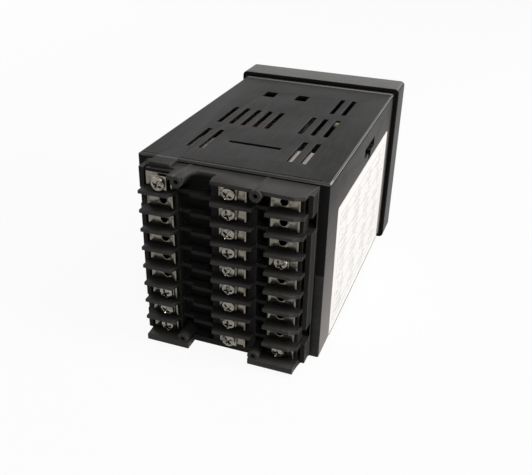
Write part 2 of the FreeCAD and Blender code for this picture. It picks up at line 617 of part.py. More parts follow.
def make_terminal_block():
    """One moulding: floor, pedestals, side walls, eight fins, roof, a notched foot and four cover bosses."""
    body = new_body("terminal_block")
    base_x = "(%s - Sizes.rim_width - Sizes.fit_gap)" % HALF_W
    base_z = "(%s - Sizes.case_wall - Sizes.fit_gap)" % HALF_H
    base = rectangle_sketch(body, "block_base", "XZ", "Sizes.block_inset - " + REAR,
                            "-" + base_x, base_x, "-" + base_z, base_z)
    pad(body, base, "Sizes.block_inset + Sizes.floor_back", reverse=True)
    low = "(-%s + Sizes.foot_thick / 2)" % HALF_H
    high = "(Sizes.top_fin_height - Sizes.roof_thick / 2)"
    pedestals = new_sketch(body, "pedestals", "XZ", "-" + REAR)
    for left, right in (("Sizes.root_half_width", "Sizes.side_wall_inner"),
                        ("Sizes.pedestal_half_width", "Sizes.slope_foot"),
                        ("Sizes.middle_column_left", "Sizes.middle_column_right"),
                        ("Sizes.right_column_inner", "-Sizes.pedestal_half_width"),
                        ("-Sizes.side_wall_inner", "-Sizes.root_half_width")):
        add_rectangle(pedestals, right, left, low, high)
    pad(body, pedestals, "Sizes.pedestal_back", reverse=True)
    roof = new_sketch(body, "roof", "XY", "Sizes.top_fin_height - Sizes.roof_thick")
    add_outline(roof, roof_outline())
    pad(body, roof, "Sizes.roof_thick")
    foot = new_sketch(body, "feet", "XY", "-" + HALF_H)
    add_outline(foot, [
        ("Sizes.root_half_width", REAR, SIDE, 1),
        ("Sizes.foot_half_width", TIP),
        ("Sizes.foot_gap_left", TIP),
        ("Sizes.foot_gap_left", REAR + " + Sizes.foot_gap_back"),
        ("Sizes.foot_gap_right", REAR + " + Sizes.foot_gap_back"),
        ("Sizes.foot_gap_right", TIP),
        ("-Sizes.foot_half_width", TIP, SIDE, 1),
        ("-Sizes.root_half_width", REAR),
    ])
    pad(body, foot, "Sizes.foot_thick")
    boss_z = "(%s - Sizes.boss_inset)" % HALF_H
    boss_spots = [(x, level + boss_z) for x in ("Sizes.boss_left", "Sizes.boss_right") for level in ("", "-")]
    bosses = new_sketch(body, "bosses", "XZ", "-" + REAR)
    for x, z in boss_spots:
        add_circle(bosses, x, z, "Sizes.boss_radius")
    pad(body, bosses, "Sizes.boss_back", reverse=True)
    fin = new_sketch(body, "fin", "XY", "Sizes.top_fin_height - Sizes.row_pitch - Sizes.fin_thick")
    add_outline(fin, fin_outline())
    first_fin = pad(body, fin, "Sizes.fin_thick")
    pattern(body, [first_fin], "Z", "%d * Sizes.row_pitch" % (ROWS - 2), ROWS - 1).Reversed = True
    pilots = new_sketch(body, "pilot_holes", "XZ", "-" + SEAT)
    half = "Sizes.pilot_width / 2"
    for column in COLUMNS:
        x = screw_x(column)
        add_rectangle(pilots, "%s - %s" % (x, half), "%s + %s" % (x, half),
                      "%s - %s" % (FIRST_ROW, half), "%s + %s" % (FIRST_ROW, half))
    cut = pocket(body, pilots, "Sizes.pilot_depth", reverse=True)
    pattern(body, [cut], "Z", "%d * Sizes.row_pitch" % (ROWS - 1), ROWS).Reversed = True
    holes = new_sketch(body, "cover_holes", "XZ", "-(%s + Sizes.boss_back)" % REAR)
    for x, z in boss_spots:
        add_polygon(holes, x, z, "Sizes.boss_hole_radius", HOLE_SIDES)
    pocket(body, holes, "Sizes.boss_hole_depth", reverse=True)
    latches = new_sketch(body, "latch_pockets", "XZ", "-" + SEAT)
    for row in (2, ROWS - 1):
        for sides in (("Sizes.pedestal_half_width", "Sizes.root_half_width"),
                      ("-Sizes.root_half_width", "-Sizes.pedestal_half_width")):
            add_rectangle(latches, sides[0], sides[1],
                          "%s - %s" % (row_z(row), CELL_HALF), "%s + %s" % (row_z(row), CELL_HALF))
    pocket(body, latches, "Sizes.latch_depth", reverse=True)
    return keep(body, "terminal_block")


def make_plate(column):
    """Terminal plate of one column: flat, with a bent lug at one end and the hole for its screw."""
    plate = new_body("terminal_plate_" + column)
    half, thick = "(Sizes.plate_width / 2)", "Sizes.plate_thick"
    profile = new_sketch(plate, "plate_profile_" + column, "XY", "-Sizes.plate_height / 2")
    add_outline(profile, [
        ("-" + half, "0"), (half, "0"), (half, thick), ("-%s + %s" % (half, thick), thick),
        ("-%s + %s" % (half, thick), thick + " + Sizes.lug_rise"), ("-" + half, thick + " + Sizes.lug_rise"),
    ])
    pad(plate, profile, "Sizes.plate_height")
    thread = new_sketch(plate, "plate_thread_" + column, "XZ", "-" + thick)
    add_polygon(thread, "Sizes.%s_hole_shift" % column, "-" + PLATE_LIFT, "Sizes.thread_radius", HOLE_SIDES)
    pocket(plate, thread, thick, reverse=True)
    return plate


def make_screw():
    """Terminal screw with its captive square washer; its origin is the washer's seat."""
    screw = new_body("terminal_screw")
    side = "(Sizes.washer_size / 2)"
    pad(screw, rectangle_sketch(screw, "screw_washer", "XZ", "0", "-" + side, side, "-" + side, side),
        "Sizes.washer_thick", reverse=True)
    head = new_sketch(screw, "screw_head", "XZ", "-Sizes.washer_thick")
    add_polygon(head, "0", "0", "Sizes.head_radius", HEAD_SIDES)
    pad(screw, head, "Sizes.head_tall", reverse=True)
    dress_rim(screw, "Chamfer", "Sizes.head_crown", "Sizes.washer_thick + Sizes.head_tall")
    shank = new_sketch(screw, "screw_shank", "XZ", "0")
    add_polygon(shank, "0", "0", "(Sizes.thread_radius - Sizes.thread_slack)", HOLE_SIDES)
    pad(screw, shank, "Sizes.screw_length")
    return screw


def make_terminals():
    """Terminal plates in every cell, and screws in the cells that have them; one of them is backed out."""
    screw = make_screw()
    with_screws = {"left": (1, ROWS - 2, ROWS - 1, ROWS), "middle": tuple(range(1, ROWS + 1)),
                   "right": (4, ROWS)}
    loose = ("left", 1)
    for column, rows in with_screws.items():
        copies("terminal_plates_" + column, make_plate(column),
               [("Sizes.%s_terminal" % column, SEAT, "%s + %s" % (row_z(row), PLATE_LIFT))
                for row in range(1, ROWS + 1)])
        spots = []
        for row in rows:
            face = PLATE_FACE + (" + Sizes.loose_by" if (column, row) == loose else "")
            spots.append((screw_x(column), face, row_z(row)))
        copies("terminal_screws_" + column, screw, spots)


def make_side_label():
    """Thin blank label on the case's right wall as seen from behind."""
    body = new_body("side_label")
    sketch = rectangle_sketch(body, "label_outline", "YZ", "-%s - Sizes.label_thick" % HALF_W,
                              "Sizes.label_front", "Sizes.label_rear", "Sizes.label_bottom", "Sizes.label_top")
    pad(body, sketch, "Sizes.label_thick")
    dress(body, "Fillet", "Sizes.label_corner", (V(1, 0, 0), lambda middle: True))
    return keep(body, "side_label")


# ---------------------------------------------------------------------------
# Boards and what they carry
# ---------------------------------------------------------------------------
INNER_FACE = "(Sizes.side_board_x - Sizes.board_thick / 2)"
BOARDS_START = "(2 * Sizes.fit_gap)"
TERMINAL_BOARD_FRONT = "(%s - Sizes.board_thick)" % TERMINAL_BOARD_BACK
BOARDS_END = "(%s - Sizes.fit_gap)" % TERMINAL_BOARD_FRONT


def make_boards():
    """Display board in the bezel, two boards along the case and one behind the terminal block."""
    half = "(Sizes.bezel_opening / 2 - Sizes.fit_gap)"
    keep(box("display_board", "-" + half, half, BOARD_FRONT, BOARD_FRONT + " + Sizes.board_thick",
             "-" + half, half), "display_board")
    outer = "(Sizes.side_board_x + Sizes.board_thick / 2)"
    for name, x0, x1 in (("power_board", INNER_FACE, outer), ("input_board", "-" + outer, "-" + INNER_FACE)):
        keep(box(name, x0, x1, BOARDS_START, BOARDS_END, "-" + BOARD_HALF_TALL, BOARD_HALF_TALL), name)
    wide = "(%s - Sizes.case_wall - Sizes.fit_gap)" % HALF_W
    tall = "(%s - Sizes.case_wall - Sizes.fit_gap)" % HALF_H
    keep(box("terminal_board", "-" + wide, wide, TERMINAL_BOARD_FRONT, TERMINAL_BOARD_BACK,
             "-" + tall, tall), "terminal_board")
    for name, middle in (("header_power", "Sizes.side_board_x"), ("header_input", "-Sizes.side_board_x")):
        keep(box(name, middle + " - Sizes.header_wide / 2", middle + " + Sizes.header_wide / 2",
                 BOARD_FRONT + " + Sizes.board_thick", BOARDS_START,
                 "-Sizes.header_long / 2", "Sizes.header_long / 2"), name)


def make_front_parts():
    """Two display modules and the key switches on the display board."""
    module_front = "(%s + Sizes.lens_thick + Sizes.display_gap)" % FRONT_PLANE
    for name in ("pv", "sv"):
        wide, tall = "(Sizes.%s_width / 2)" % name, "(Sizes.%s_height / 2)" % name
        rise = "Sizes.%s_rise" % name
        keep(box(name + "_display", "-" + wide, wide, module_front, BOARD_FRONT,
                 "%s - %s" % (rise, tall), "%s + %s" % (rise, tall)), name + "_display")
    switch = box("key_switch", "-Sizes.switch_size / 2", "Sizes.switch_size / 2", "-Sizes.switch_tall", "0",
                 "-Sizes.switch_size / 2", "Sizes.switch_size / 2")
    copies("key_switches", seated(switch), [(key_x(index), BOARD_FRONT, "Sizes.key_drop") for index in range(len(KEYS))])


def make_can(name, radius, length, at, height, side):
    """Round capacitor lying on its board, with an eased edge at its free end."""
    body = new_body(name)
    profile = new_sketch(body, name + "_profile", "XY")
    edge = "Sizes.can_edge"
    add_outline(profile, [
        ("0", "0"), ("0", radius), ("%s - %s" % (length, edge), radius),
        (length, "%s - %s" % (radius, edge)), (length, "0"),
    ])
    turned = body.newObject("PartDesign::Revolution", name + "_turned")
    turned.Profile = profile
    turned.ReferenceAxis = ([f for f in body.Origin.OriginFeatures if f.Role == "X_Axis"][0], [""])
    turned.Angle = FULL_TURN
    if side > 0:
        body.Placement.Rotation = FreeCAD.Rotation(V(0, 0, 1), FULL_TURN / 2)
    place(body, INNER_FACE if side > 0 else "-" + INNER_FACE, at, height)
    return keep(body, name)


def make_transformer():
    """Laminated core with a centre limb, and the taped coil round that limb."""
    x_face = INNER_FACE
    stack_outer = "(%s - (Sizes.core_deep - Sizes.core_stack) / 2)" % x_face
    front, rear = "Sizes.core_front", "(Sizes.core_front + Sizes.core_length)"
    top, low = "Sizes.core_top", "(Sizes.core_top - Sizes.core_tall)"
    middle = "(Sizes.core_front + Sizes.core_length / 2)"
    limb = "Sizes.core_limb"
    core = new_body("transformer_core")
    pad(core, rectangle_sketch(core, "core_outline", "YZ", "%s - Sizes.core_stack" % stack_outer,
                               front, rear, low, top), "Sizes.core_stack")
    windows = new_sketch(core, "core_windows", "YZ", stack_outer)
    for start, end in (("%s + %s" % (front, limb), "%s - %s / 2" % (middle, limb)),
                       ("%s + %s / 2" % (middle, limb), "%s - %s" % (rear, limb))):
        add_rectangle(windows, start, end, "%s + %s" % (low, limb), "%s - %s" % (top, limb))
    pocket(core, windows, "Sizes.core_stack")
    keep(core, "transformer_core")
    coil = new_body("transformer_coil")
    gap = "Sizes.coil_gap"
    pad(coil, rectangle_sketch(coil, "coil_outline", "YZ", "%s - Sizes.core_deep" % x_face,
                               "%s + %s + %s" % (front, limb, gap), "%s - %s - %s" % (rear, limb, gap),
                               "%s + %s + %s" % (low, limb, gap), "%s - %s - %s" % (top, limb, gap)),
        "Sizes.core_deep")
    dress(coil, "Fillet", "Sizes.relay_round", (V(0, 0, 1), lambda spot: True))
    bore = new_sketch(coil, "coil_bore", "XY", "%s - %s" % (top, limb))
    add_rectangle(bore, "%s - Sizes.core_stack - %s" % (stack_outer, gap), "%s + %s" % (stack_outer, gap),
                  "%s - %s / 2 - %s" % (middle, limb, gap), "%s + %s / 2 + %s" % (middle, limb, gap))
    pocket(coil, bore, "Sizes.core_tall")
    keep(coil, "transformer_coil")


def make_board_parts():
    """Relays, capacitors, heat sink, regulator and chips on the two long boards."""
    front, rear = "(Sizes.relay_rear - Sizes.relay_length)", "Sizes.relay_rear"
    low, top = "(Sizes.relay_top - Sizes.relay_tall)", "Sizes.relay_top"
    round_off = "Sizes.relay_round"
    inward = "(%s - Sizes.relay_deep)" % INNER_FACE
    moulded_box("relay_left", inward, INNER_FACE, front, rear, low, top, round_off)
    moulded_box("relay_right", "-" + INNER_FACE, "-" + inward, front, rear, low, top, round_off)
    moulded_box("relay_low", inward, INNER_FACE, front, rear,
                low + " - Sizes.relay_low_drop", top + " - Sizes.relay_low_drop", round_off)
    moulded_box("film_capacitor", INNER_FACE + " - Sizes.film_deep", INNER_FACE,
                "Sizes.film_front", "Sizes.film_front + Sizes.film_length",
                "Sizes.film_top - Sizes.film_tall", "Sizes.film_top", round_off)
    moulded_box("box_capacitor", "-" + INNER_FACE, "Sizes.poly_deep - " + INNER_FACE,
                "Sizes.poly_front", "Sizes.poly_front + Sizes.poly_length",
                "Sizes.poly_top - Sizes.poly_tall", "Sizes.poly_top", round_off)
    make_can("filter_capacitor", "Sizes.filter_radius", "Sizes.filter_long", "Sizes.filter_at",
             "Sizes.filter_height", 1)
    make_can("output_capacitor", "Sizes.output_radius", "Sizes.output_long", "Sizes.output_at",
             "Sizes.output_height", -1)
    sink = new_body("heat_sink")
    tip = "(Sizes.sink_reach - %s)" % INNER_FACE
    thick = "Sizes.sink_thick"
    profile = new_sketch(sink, "sink_profile", "XZ", "-Sizes.sink_front")
    add_outline(profile, [
        ("-" + INNER_FACE, "Sizes.sink_foot"), (tip, "Sizes.sink_foot"), (tip, "Sizes.sink_top"),
        ("%s - %s" % (tip, thick), "Sizes.sink_top"), ("%s - %s" % (tip, thick), "Sizes.sink_foot + " + thick),
        ("-" + INNER_FACE, "Sizes.sink_foot + " + thick),
    ])
    pad(sink, profile, "Sizes.sink_rear - Sizes.sink_front", reverse=True)
    keep(sink, "heat_sink")
    sink_middle = "(Sizes.sink_front + Sizes.sink_rear) / 2"
    face = "(%s - %s)" % (tip, thick)
    keep(box("regulator", face + " - Sizes.tab_thick", face, sink_middle + " - Sizes.tab_wide / 2",
             sink_middle + " + Sizes.tab_wide / 2", "0", "Sizes.tab_tall"), "regulator")
    chip = "Sizes.chip_size / 2"
    keep(box("micro_chip", "-" + INNER_FACE, "-%s + Sizes.chip_thick" % INNER_FACE, "Sizes.chip_at - " + chip,
             "Sizes.chip_at + " + chip, "-" + chip, chip), "micro_chip")
    opto = box("opto", "0", "Sizes.opto_thick", "-Sizes.opto_long / 2", "Sizes.opto_long / 2",
               "-Sizes.opto_wide / 2", "Sizes.opto_wide / 2")
    copies("opto_row", seated(opto),
           [("-" + INNER_FACE, "Sizes.opto_at", "-%d * Sizes.opto_pitch" % index) for index in range(3)])


make_housing()
make_bezel()
make_front_panel()
make_display_window()
for key_index, key_name in enumerate(KEYS):
    make_key(key_index, key_name)
make_lamps()
make_terminal_block()
make_terminals()
make_side_label()
make_boards()
make_front_parts()
make_transformer()
make_board_parts()

doc.recompute()
for thing in doc.Objects:
    if "Invalid" in thing.State or "Error" in thing.State:
        raise ValueError("%s did not build: %s" % (thing.Name, thing.State))
for node in NODES:
    if node.Shape.isNull() or not node.Shape.isValid():
        raise ValueError("%s has no valid shape" % node.Label)

os.makedirs("parts", exist_ok=True)
for node in NODES:
    node.Shape.exportStep("parts/%s.step" % node.Label)
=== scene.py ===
"""Studio scene of a panel-mounted temperature controller, seen from its terminal side.

Lengths held by the classes are in millimetres unless they say metres, and X, Y and Z are places in
the part's own frame: the origin is the centre of the bezel's back, +Y runs back to the terminals, +Z
is up and the display faces -Y. Meshes are written in metres.
"""

import logging
import math
from collections.abc import Mapping, Sequence
from dataclasses import dataclass, field
from enum import Enum

import bmesh
import bpy
import numpy as np
from mathutils import Matrix, Vector

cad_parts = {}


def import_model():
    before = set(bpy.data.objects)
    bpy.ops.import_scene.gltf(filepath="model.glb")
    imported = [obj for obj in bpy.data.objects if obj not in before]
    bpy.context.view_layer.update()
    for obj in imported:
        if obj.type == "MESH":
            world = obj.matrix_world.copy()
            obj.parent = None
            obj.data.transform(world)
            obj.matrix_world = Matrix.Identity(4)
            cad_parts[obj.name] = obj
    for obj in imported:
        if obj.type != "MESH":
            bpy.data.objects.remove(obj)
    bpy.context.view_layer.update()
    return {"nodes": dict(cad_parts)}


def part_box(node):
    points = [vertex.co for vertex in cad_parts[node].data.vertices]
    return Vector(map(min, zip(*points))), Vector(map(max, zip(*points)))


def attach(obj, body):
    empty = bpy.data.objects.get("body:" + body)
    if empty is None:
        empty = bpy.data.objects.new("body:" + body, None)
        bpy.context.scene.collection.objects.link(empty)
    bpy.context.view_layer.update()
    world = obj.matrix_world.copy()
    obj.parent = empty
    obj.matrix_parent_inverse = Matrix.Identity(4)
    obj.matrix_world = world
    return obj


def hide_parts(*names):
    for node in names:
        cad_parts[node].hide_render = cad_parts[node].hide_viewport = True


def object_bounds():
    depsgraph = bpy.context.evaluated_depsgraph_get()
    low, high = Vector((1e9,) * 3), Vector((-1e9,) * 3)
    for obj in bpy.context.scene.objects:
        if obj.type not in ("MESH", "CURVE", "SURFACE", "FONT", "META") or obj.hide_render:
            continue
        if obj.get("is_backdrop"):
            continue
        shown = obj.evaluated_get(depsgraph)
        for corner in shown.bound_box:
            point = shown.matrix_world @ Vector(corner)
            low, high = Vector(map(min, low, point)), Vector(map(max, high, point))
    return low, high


LOG = logging.getLogger("controller")
MM = 0.001
FULL_TURN = 2.0 * math.pi
ROWS = 9
ACRYLIC_IOR = 1.49

Triple = tuple[float, float, float]
Colour = Triple
Spot = tuple[float, float]

BLACK: Colour = (0.0, 0.0, 0.0)
WHITE: Colour = (1.0, 1.0, 1.0)


class Body(Enum):
    """Bodies of the model that a piece can ride on."""

    CASE = "case"
    SET_KEY = "set_key"
    SHIFT_KEY = "shift_key"
    DOWN_KEY = "down_key"
    UP_KEY = "up_key"


class Slot(Enum):
    """Material slots of the record that a new piece can take its finish from."""

    CASE = "case"
    BEZEL = "bezel"
    PANEL = "panel"
    WINDOW = "window"
    KEYS = "keys"
    LAMPS = "lamps"
    BLOCK = "block"
    CONTACTS = "contacts"
    SCREWS = "screws"
    DISPLAY = "display"


class KeyMark(Enum):
    """Mark moulded on the face of a key."""

    RING = "ring"
    LEFT = "left"
    DOWN = "down"
    UP = "up"


class Axis(Enum):
    """Axis across the layers of a stacked or wound part."""

    X = "x"
    Z = "z"


# --- Shader maths ---
class Value:
    """One number that varies over a surface, held by the output socket of a node.

    Attributes:
        tree: node tree that the socket belongs to.
        socket: output socket that carries the number.
    """

    def __init__(self, tree: "Tree", socket: bpy.types.NodeSocket) -> None:
        """Wrap a socket of a node tree."""
        self.tree = tree
        self.socket = socket

    def __add__(self, other: "Value | float") -> "Value":
        """Sum."""
        return self.tree.maths("ADD", self, other)

    def __radd__(self, other: float) -> "Value":
        """Sum with a plain number first."""
        return self.tree.maths("ADD", other, self)

    def __sub__(self, other: "Value | float") -> "Value":
        """Difference."""
        return self.tree.maths("SUBTRACT", self, other)

    def __rsub__(self, other: float) -> "Value":
        """Difference with a plain number first."""
        return self.tree.maths("SUBTRACT", other, self)

    def __mul__(self, other: "Value | float") -> "Value":
        """Product."""
        return self.tree.maths("MULTIPLY", self, other)

    def __rmul__(self, other: float) -> "Value":
        """Product with a plain number first."""
        return self.tree.maths("MULTIPLY", other, self)

    def __truediv__(self, other: "Value | float") -> "Value":
        """Quotient."""
        return self.tree.maths("DIVIDE", self, other)

    def __pow__(self, other: float) -> "Value":
        """Power."""
        return self.tree.maths("POWER", self, other)

    def __neg__(self) -> "Value":
        """The number with its sign turned."""
        return self.tree.maths("MULTIPLY", self, -1.0)

    def __abs__(self) -> "Value":
        """Size without its sign."""
        return self.tree.maths("ABSOLUTE", self)

    def __mod__(self, period: float) -> "Value":
        """Remainder that stays positive, for patterns that repeat."""
        return self.tree.maths("FLOORED_MODULO", self, period)

    def clamped(self) -> "Value":
        """The number kept between 0 and 1."""
        return Value(self.tree, self.tree.node("ShaderNodeClamp", None, {"Value": self}).outputs[0])

    def contrast(self, start: float, gain: float) -> "Value":
        """How far the number lies above a start, times a gain, kept between 0 and 1."""
        return ((self - start) * gain).clamped()

    def swing(self, size: float) -> "Value":
        """How far a noise lies from its middle of one half, times a size."""
        return (self - 0.5) * size

    def above(self, edge: "Value | float", soft: float = 0.0) -> "Value":
        """Mask that is 1 above an edge.

        Args:
            edge: the edge.
            soft: width of the band over which the mask fades.

        Returns:
            The mask.
        """
        if soft:
            return ((self - edge) / soft + 0.5).clamped()
        return self.tree.maths("GREATER_THAN", self, edge)

    def below(self, edge: "Value | float", soft: float = 0.0) -> "Value":
        """Mask that is 1 below an edge, with the same optional soft band."""
        return 1.0 - self.above(edge, soft)

    def most(self, other: "Value | float") -> "Value":
        """The larger of two numbers."""
        return self.tree.maths("MAXIMUM", self, other)


class Tree:
    """Node tree of a material or of the world while it is being put together.

    Attributes:
        owner: the material or world.
    """

    def __init__(self, owner: bpy.types.Material | bpy.types.World, output: str) -> None:
        """Start with nothing but the output node.

        Args:
            owner: the material or world.
            output: type of its output node.
        """
        self.owner = owner
        owner.use_nodes = True
        self._tree = owner.node_tree
        self._tree.nodes.clear()
        self._output = self.node(output)

    def node(self, kind: str, settings: Mapping[str, object] | None = None,
             inputs: Mapping[str | int, object] | None = None) -> bpy.types.Node:
        """Add one node.

        Args:
            kind: node type, such as "ShaderNodeMath".
            settings: properties of the node, set before its sockets.
            inputs: value or link of each input socket, by name or number.

        Returns:
            The new node.
        """
        node = self._tree.nodes.new(kind)
        for key, setting in (settings or {}).items():
            setattr(node, key, setting)
        for key, value in (inputs or {}).items():
            self._feed(node.inputs[key], value)
        return node

    def _feed(self, socket: bpy.types.NodeSocket, value: object) -> None:
        """Link an input socket, or set it to something plain.

        Args:
            socket: the input socket.
            value: a value or output socket to link, or a plain number, vector or colour.
        """
        if isinstance(value, Value):
            value = value.socket
        if isinstance(value, bpy.types.NodeSocket):
            self._tree.links.new(value, socket)
        elif socket.type == "RGBA" and len(value) == 3:
            socket.default_value = (*value, 1.0)
        else:
            socket.default_value = value

    def maths(self, operation: str, first: Value | float, second: Value | float = 0.0) -> Value:
        """Result of one Math node, by the name of its operation."""
        node = self.node("ShaderNodeMath", {"operation": operation}, {0: first, 1: second})
        return Value(self, node.outputs[0])

    def seen(self) -> Value:
        """Mask of the rays that meet a background.

        Returns:
            1 for rays from the camera, mirrored rays and rays through a clear piece.
        """
        path = self.node("ShaderNodeLightPath")
        camera, glossy, clear = (Value(self, path.outputs[f"Is {kind} Ray"])
                                 for kind in ("Camera", "Glossy", "Transmission"))
        return camera.most(glossy).most(clear)

    def close(self, shader: bpy.types.NodeSocket) -> None:
        """Link a shader to the output."""
        self._tree.links.new(shader, self._output.inputs["Surface"])

    def close_mixed(self, share: Value, first: bpy.types.Node, second: bpy.types.Node) -> None:
        """Link the output to two shader nodes, of which the second has the given share."""
        mix = self.node("ShaderNodeMixShader", None, {0: share, 1: first.outputs[0], 2: second.outputs[0]})
        self.close(mix.outputs[0])


class Recipe(Tree):
    """Node tree of one material, with patterns laid out in the piece's own millimetres.

    Attributes:
        place: place on the piece in mm.
        x: sideways part of the place.
        y: part of the place towards the terminals.
        z: height.
    """

    def __init__(self, name: str) -> None:
        """Start an empty material.

        Args:
            name: name of the material.
        """
        super().__init__(bpy.data.materials.new(name), "ShaderNodeOutputMaterial")
        metres = self.node("ShaderNodeTexCoord").outputs["Object"]
        self.place = self.node("ShaderNodeVectorMath", {"operation": "SCALE"},
                               {"Vector": metres, "Scale": 1.0 / MM}).outputs["Vector"]
        parts = self.node("ShaderNodeSeparateXYZ", None, {"Vector": self.place})
        self.x, self.y, self.z = (Value(self, parts.outputs[axis]) for axis in "XYZ")

    def blend(self, factor: Value, low: object, high: object) -> bpy.types.NodeSocket:
        """Colour between two colours or colour sockets, by a factor from 0 to 1."""
        # The colour sockets of a Mix node share their names with others, so they go by number.
        return self.node("ShaderNodeMix", {"data_type": "RGBA"}, {0: factor, 6: low, 7: high}).outputs[2]

    def _stretched(self, size: float, stretch: Triple) -> bpy.types.NodeSocket:
        """Place divided by a size and, per axis, by a stretch."""
        share = tuple(1.0 / (size * axis) for axis in stretch)
        return self.node("ShaderNodeVectorMath", {"operation": "MULTIPLY"},
                         {0: self.place, 1: share}).outputs["Vector"]

    def noise(self, size: float, detail: float = 2.0, stretch: Triple = (1.0, 1.0, 1.0)) -> Value:
        """Smooth noise between 0 and 1.

        Args:
            size: size of its blotches in mm.
            detail: number of finer layers.
            stretch: how many times longer the blotches are along each axis.

        Returns:
            The noise.
        """
        inputs = {"Vector": self._stretched(size, stretch), "Scale": 1.0, "Detail": detail}
        return Value(self, self.node("ShaderNodeTexNoise", None, inputs).outputs[0])

    def cells(self, size: float, stretch: Triple = (1.0, 1.0, 1.0)) -> Value:
        """Random cells.

        Args:
            size: size of a cell in mm.
            stretch: how many times longer a cell is along each axis.

        Returns:
            Distance to the cell's middle in cell sizes.
        """
        inputs = {"Vector": self._stretched(size, stretch), "Scale": 1.0}
        return Value(self, self.node("ShaderNodeTexVoronoi", None, inputs).outputs["Distance"])

    def stripes(self, along: Value, pitch: float, share: float, soft: float) -> Value:
        """Mask of regular stripes.

        Args:
            along: coordinate across the stripes.
            pitch: distance between stripes in mm.
            share: part of the pitch that a stripe takes.
            soft: soft band at its edges, as a part of the pitch.

        Returns:
            The mask.
        """
        return abs((along / pitch) % 1.0 - 0.5).below(share / 2.0, soft)

    def patch(self, *ranges: tuple[Value, float, float]) -> Value:
        """Mask of a patch.

        Args:
            ranges: coordinates, each with its lower and upper limit.

        Returns:
            1 where every coordinate lies between its limits.
        """
        mask = None
        for along, low, high in ranges:
            inside = abs(along - (low + high) / 2.0).below((high - low) / 2.0)
            mask = inside if mask is None else mask * inside
        return mask

    def frame(self, first: tuple[Value, float, float], second: tuple[Value, float, float],
              line: float) -> Value:
        """Mask of the outline of a patch, with the line laid inside its limits."""
        inner = ((along, low + line, high - line) for along, low, high in (first, second))
        return self.patch(first, second) - self.patch(*inner)

    def finish(self, colour: object, roughness: Value, relief: Value, depth: float,
               more: Mapping[str, object] | None = None) -> bpy.types.Material:
        """Close the recipe with a Principled surface.

        Args:
            colour: its colour.
            roughness: how matt it is.
            relief: height of its relief from 0 to 1.
            depth: depth of the relief in mm.
            more: what goes into its other sockets, by name.

        Returns:
            The finished material.
        """
        bump = self.node("ShaderNodeBump", None, {"Height": relief, "Distance": depth * MM})
        inputs = {"Base Color": colour, "Roughness": roughness, "Normal": bump.outputs["Normal"]}
        surface = self.node("ShaderNodeBsdfPrincipled", None, {**inputs, **(more or {})})
        self.close(surface.outputs[0])
        return self.owner


# --- Finishes ---
@dataclass(frozen=True)
class Finish:
    """Finish of a piece; each kind builds a material of its own.

    Attributes:
        name: name of the material.
    """

    name: str

    def material(self) -> bpy.types.Material:
        """Build the material."""
        raise NotImplementedError


@dataclass(frozen=True)
class MouldedPlastic(Finish):
    """Moulded plastic with a fine eroded grain, faint clouding and paler rubbed patches.

    Attributes:
        colour: colour of the untouched plastic.
        rubbed: colour where it is rubbed or dusty.
        roughness: how matt it is.
        grain: size of the moulded grain.
        grain_depth: depth of the grain.
        rub: how far the rubbed colour shows, from 0 to 1.
        edge: how many times paler the rubbed colour is on the rounded edges, as painted highlight and wear.
        streaks: how many times longer the rub marks are along each axis.
        gloss: how strongly it mirrors, where clean plastic has 0.5.
        cloud: size of the faint clouds.
        scuff: width of a rub mark.
        wear: size of the worn patches on the rounded edges.
        fade: width of the soft borders between its zones.
    """

    colour: Colour
    rubbed: Colour
    roughness: float = 0.55
    grain: float = 0.5
    grain_depth: float = 0.03
    rub: float = 0.5
    edge: float = 1.8
    streaks: Triple = (1.0, 9.0, 1.0)
    gloss: float = 0.12
    cloud: float = 14.0
    scuff: float = 1.2
    wear: float = 3.5
    fade: float = 0.3

    def shades(self, recipe: Recipe) -> tuple[bpy.types.NodeSocket, Value, Value]:
        """Work out the plain plastic, for this finish and those built on it.

        Args:
            recipe: material that it goes into.

        Returns:
            Its colour, its roughness, and the height of its grain from 0 to 1.
        """
        grain = recipe.noise(self.grain)
        cloud = recipe.noise(self.cloud, detail=4.0)
        streak = recipe.noise(self.scuff, detail=3.0, stretch=self.streaks)
        worn = (cloud * 0.6 + streak * 0.4).contrast(start=0.42, gain=4.0)
        colour = recipe.blend(worn * self.rub, self.colour, self.rubbed)
        return colour, self.roughness + cloud.swing(0.16) + grain.swing(0.08), grain

    def closed(self, recipe: Recipe, colour: object, roughness: Value, relief: Value,
               deeper: float = 1.0) -> bpy.types.Material:
        """Close a recipe with this plastic's gloss.

        Args:
            recipe: the recipe.
            colour: colour of the surface.
            roughness: how matt it is.
            relief: height of its relief from 0 to 1.
            deeper: how many times deeper than the grain the relief is.

        Returns:
            The finished material.
        """
        gloss = {"Specular IOR Level": self.gloss}
        return recipe.finish(colour, roughness, relief, self.grain_depth * deeper, gloss)

    def material(self) -> bpy.types.Material:
        """Build the material."""
        recipe = Recipe(self.name)
        return self.closed(recipe, *self.shades(recipe))

    def edge_highlight_and_wear_material(self) -> bpy.types.Material:
        """Build the material of the rounded edges.

        Returns:
            A paler and more polished material, as painted highlight and wear along the edges, rubbed in
            places.
        """
        recipe = Recipe(self.name + " edges")
        patchy = recipe.noise(self.wear, detail=4.0).contrast(start=0.35, gain=3.0)
        # Painted highlight and wear: the rounded edges take the rubbed colour made paler, in patches.
        colour = recipe.blend(patchy, self.rubbed, tuple(self.edge * c for c in self.rubbed))
        roughness = self.roughness - 0.12 - patchy * 0.08
        return self.closed(recipe, colour, roughness, recipe.noise(self.grain), deeper=0.5)


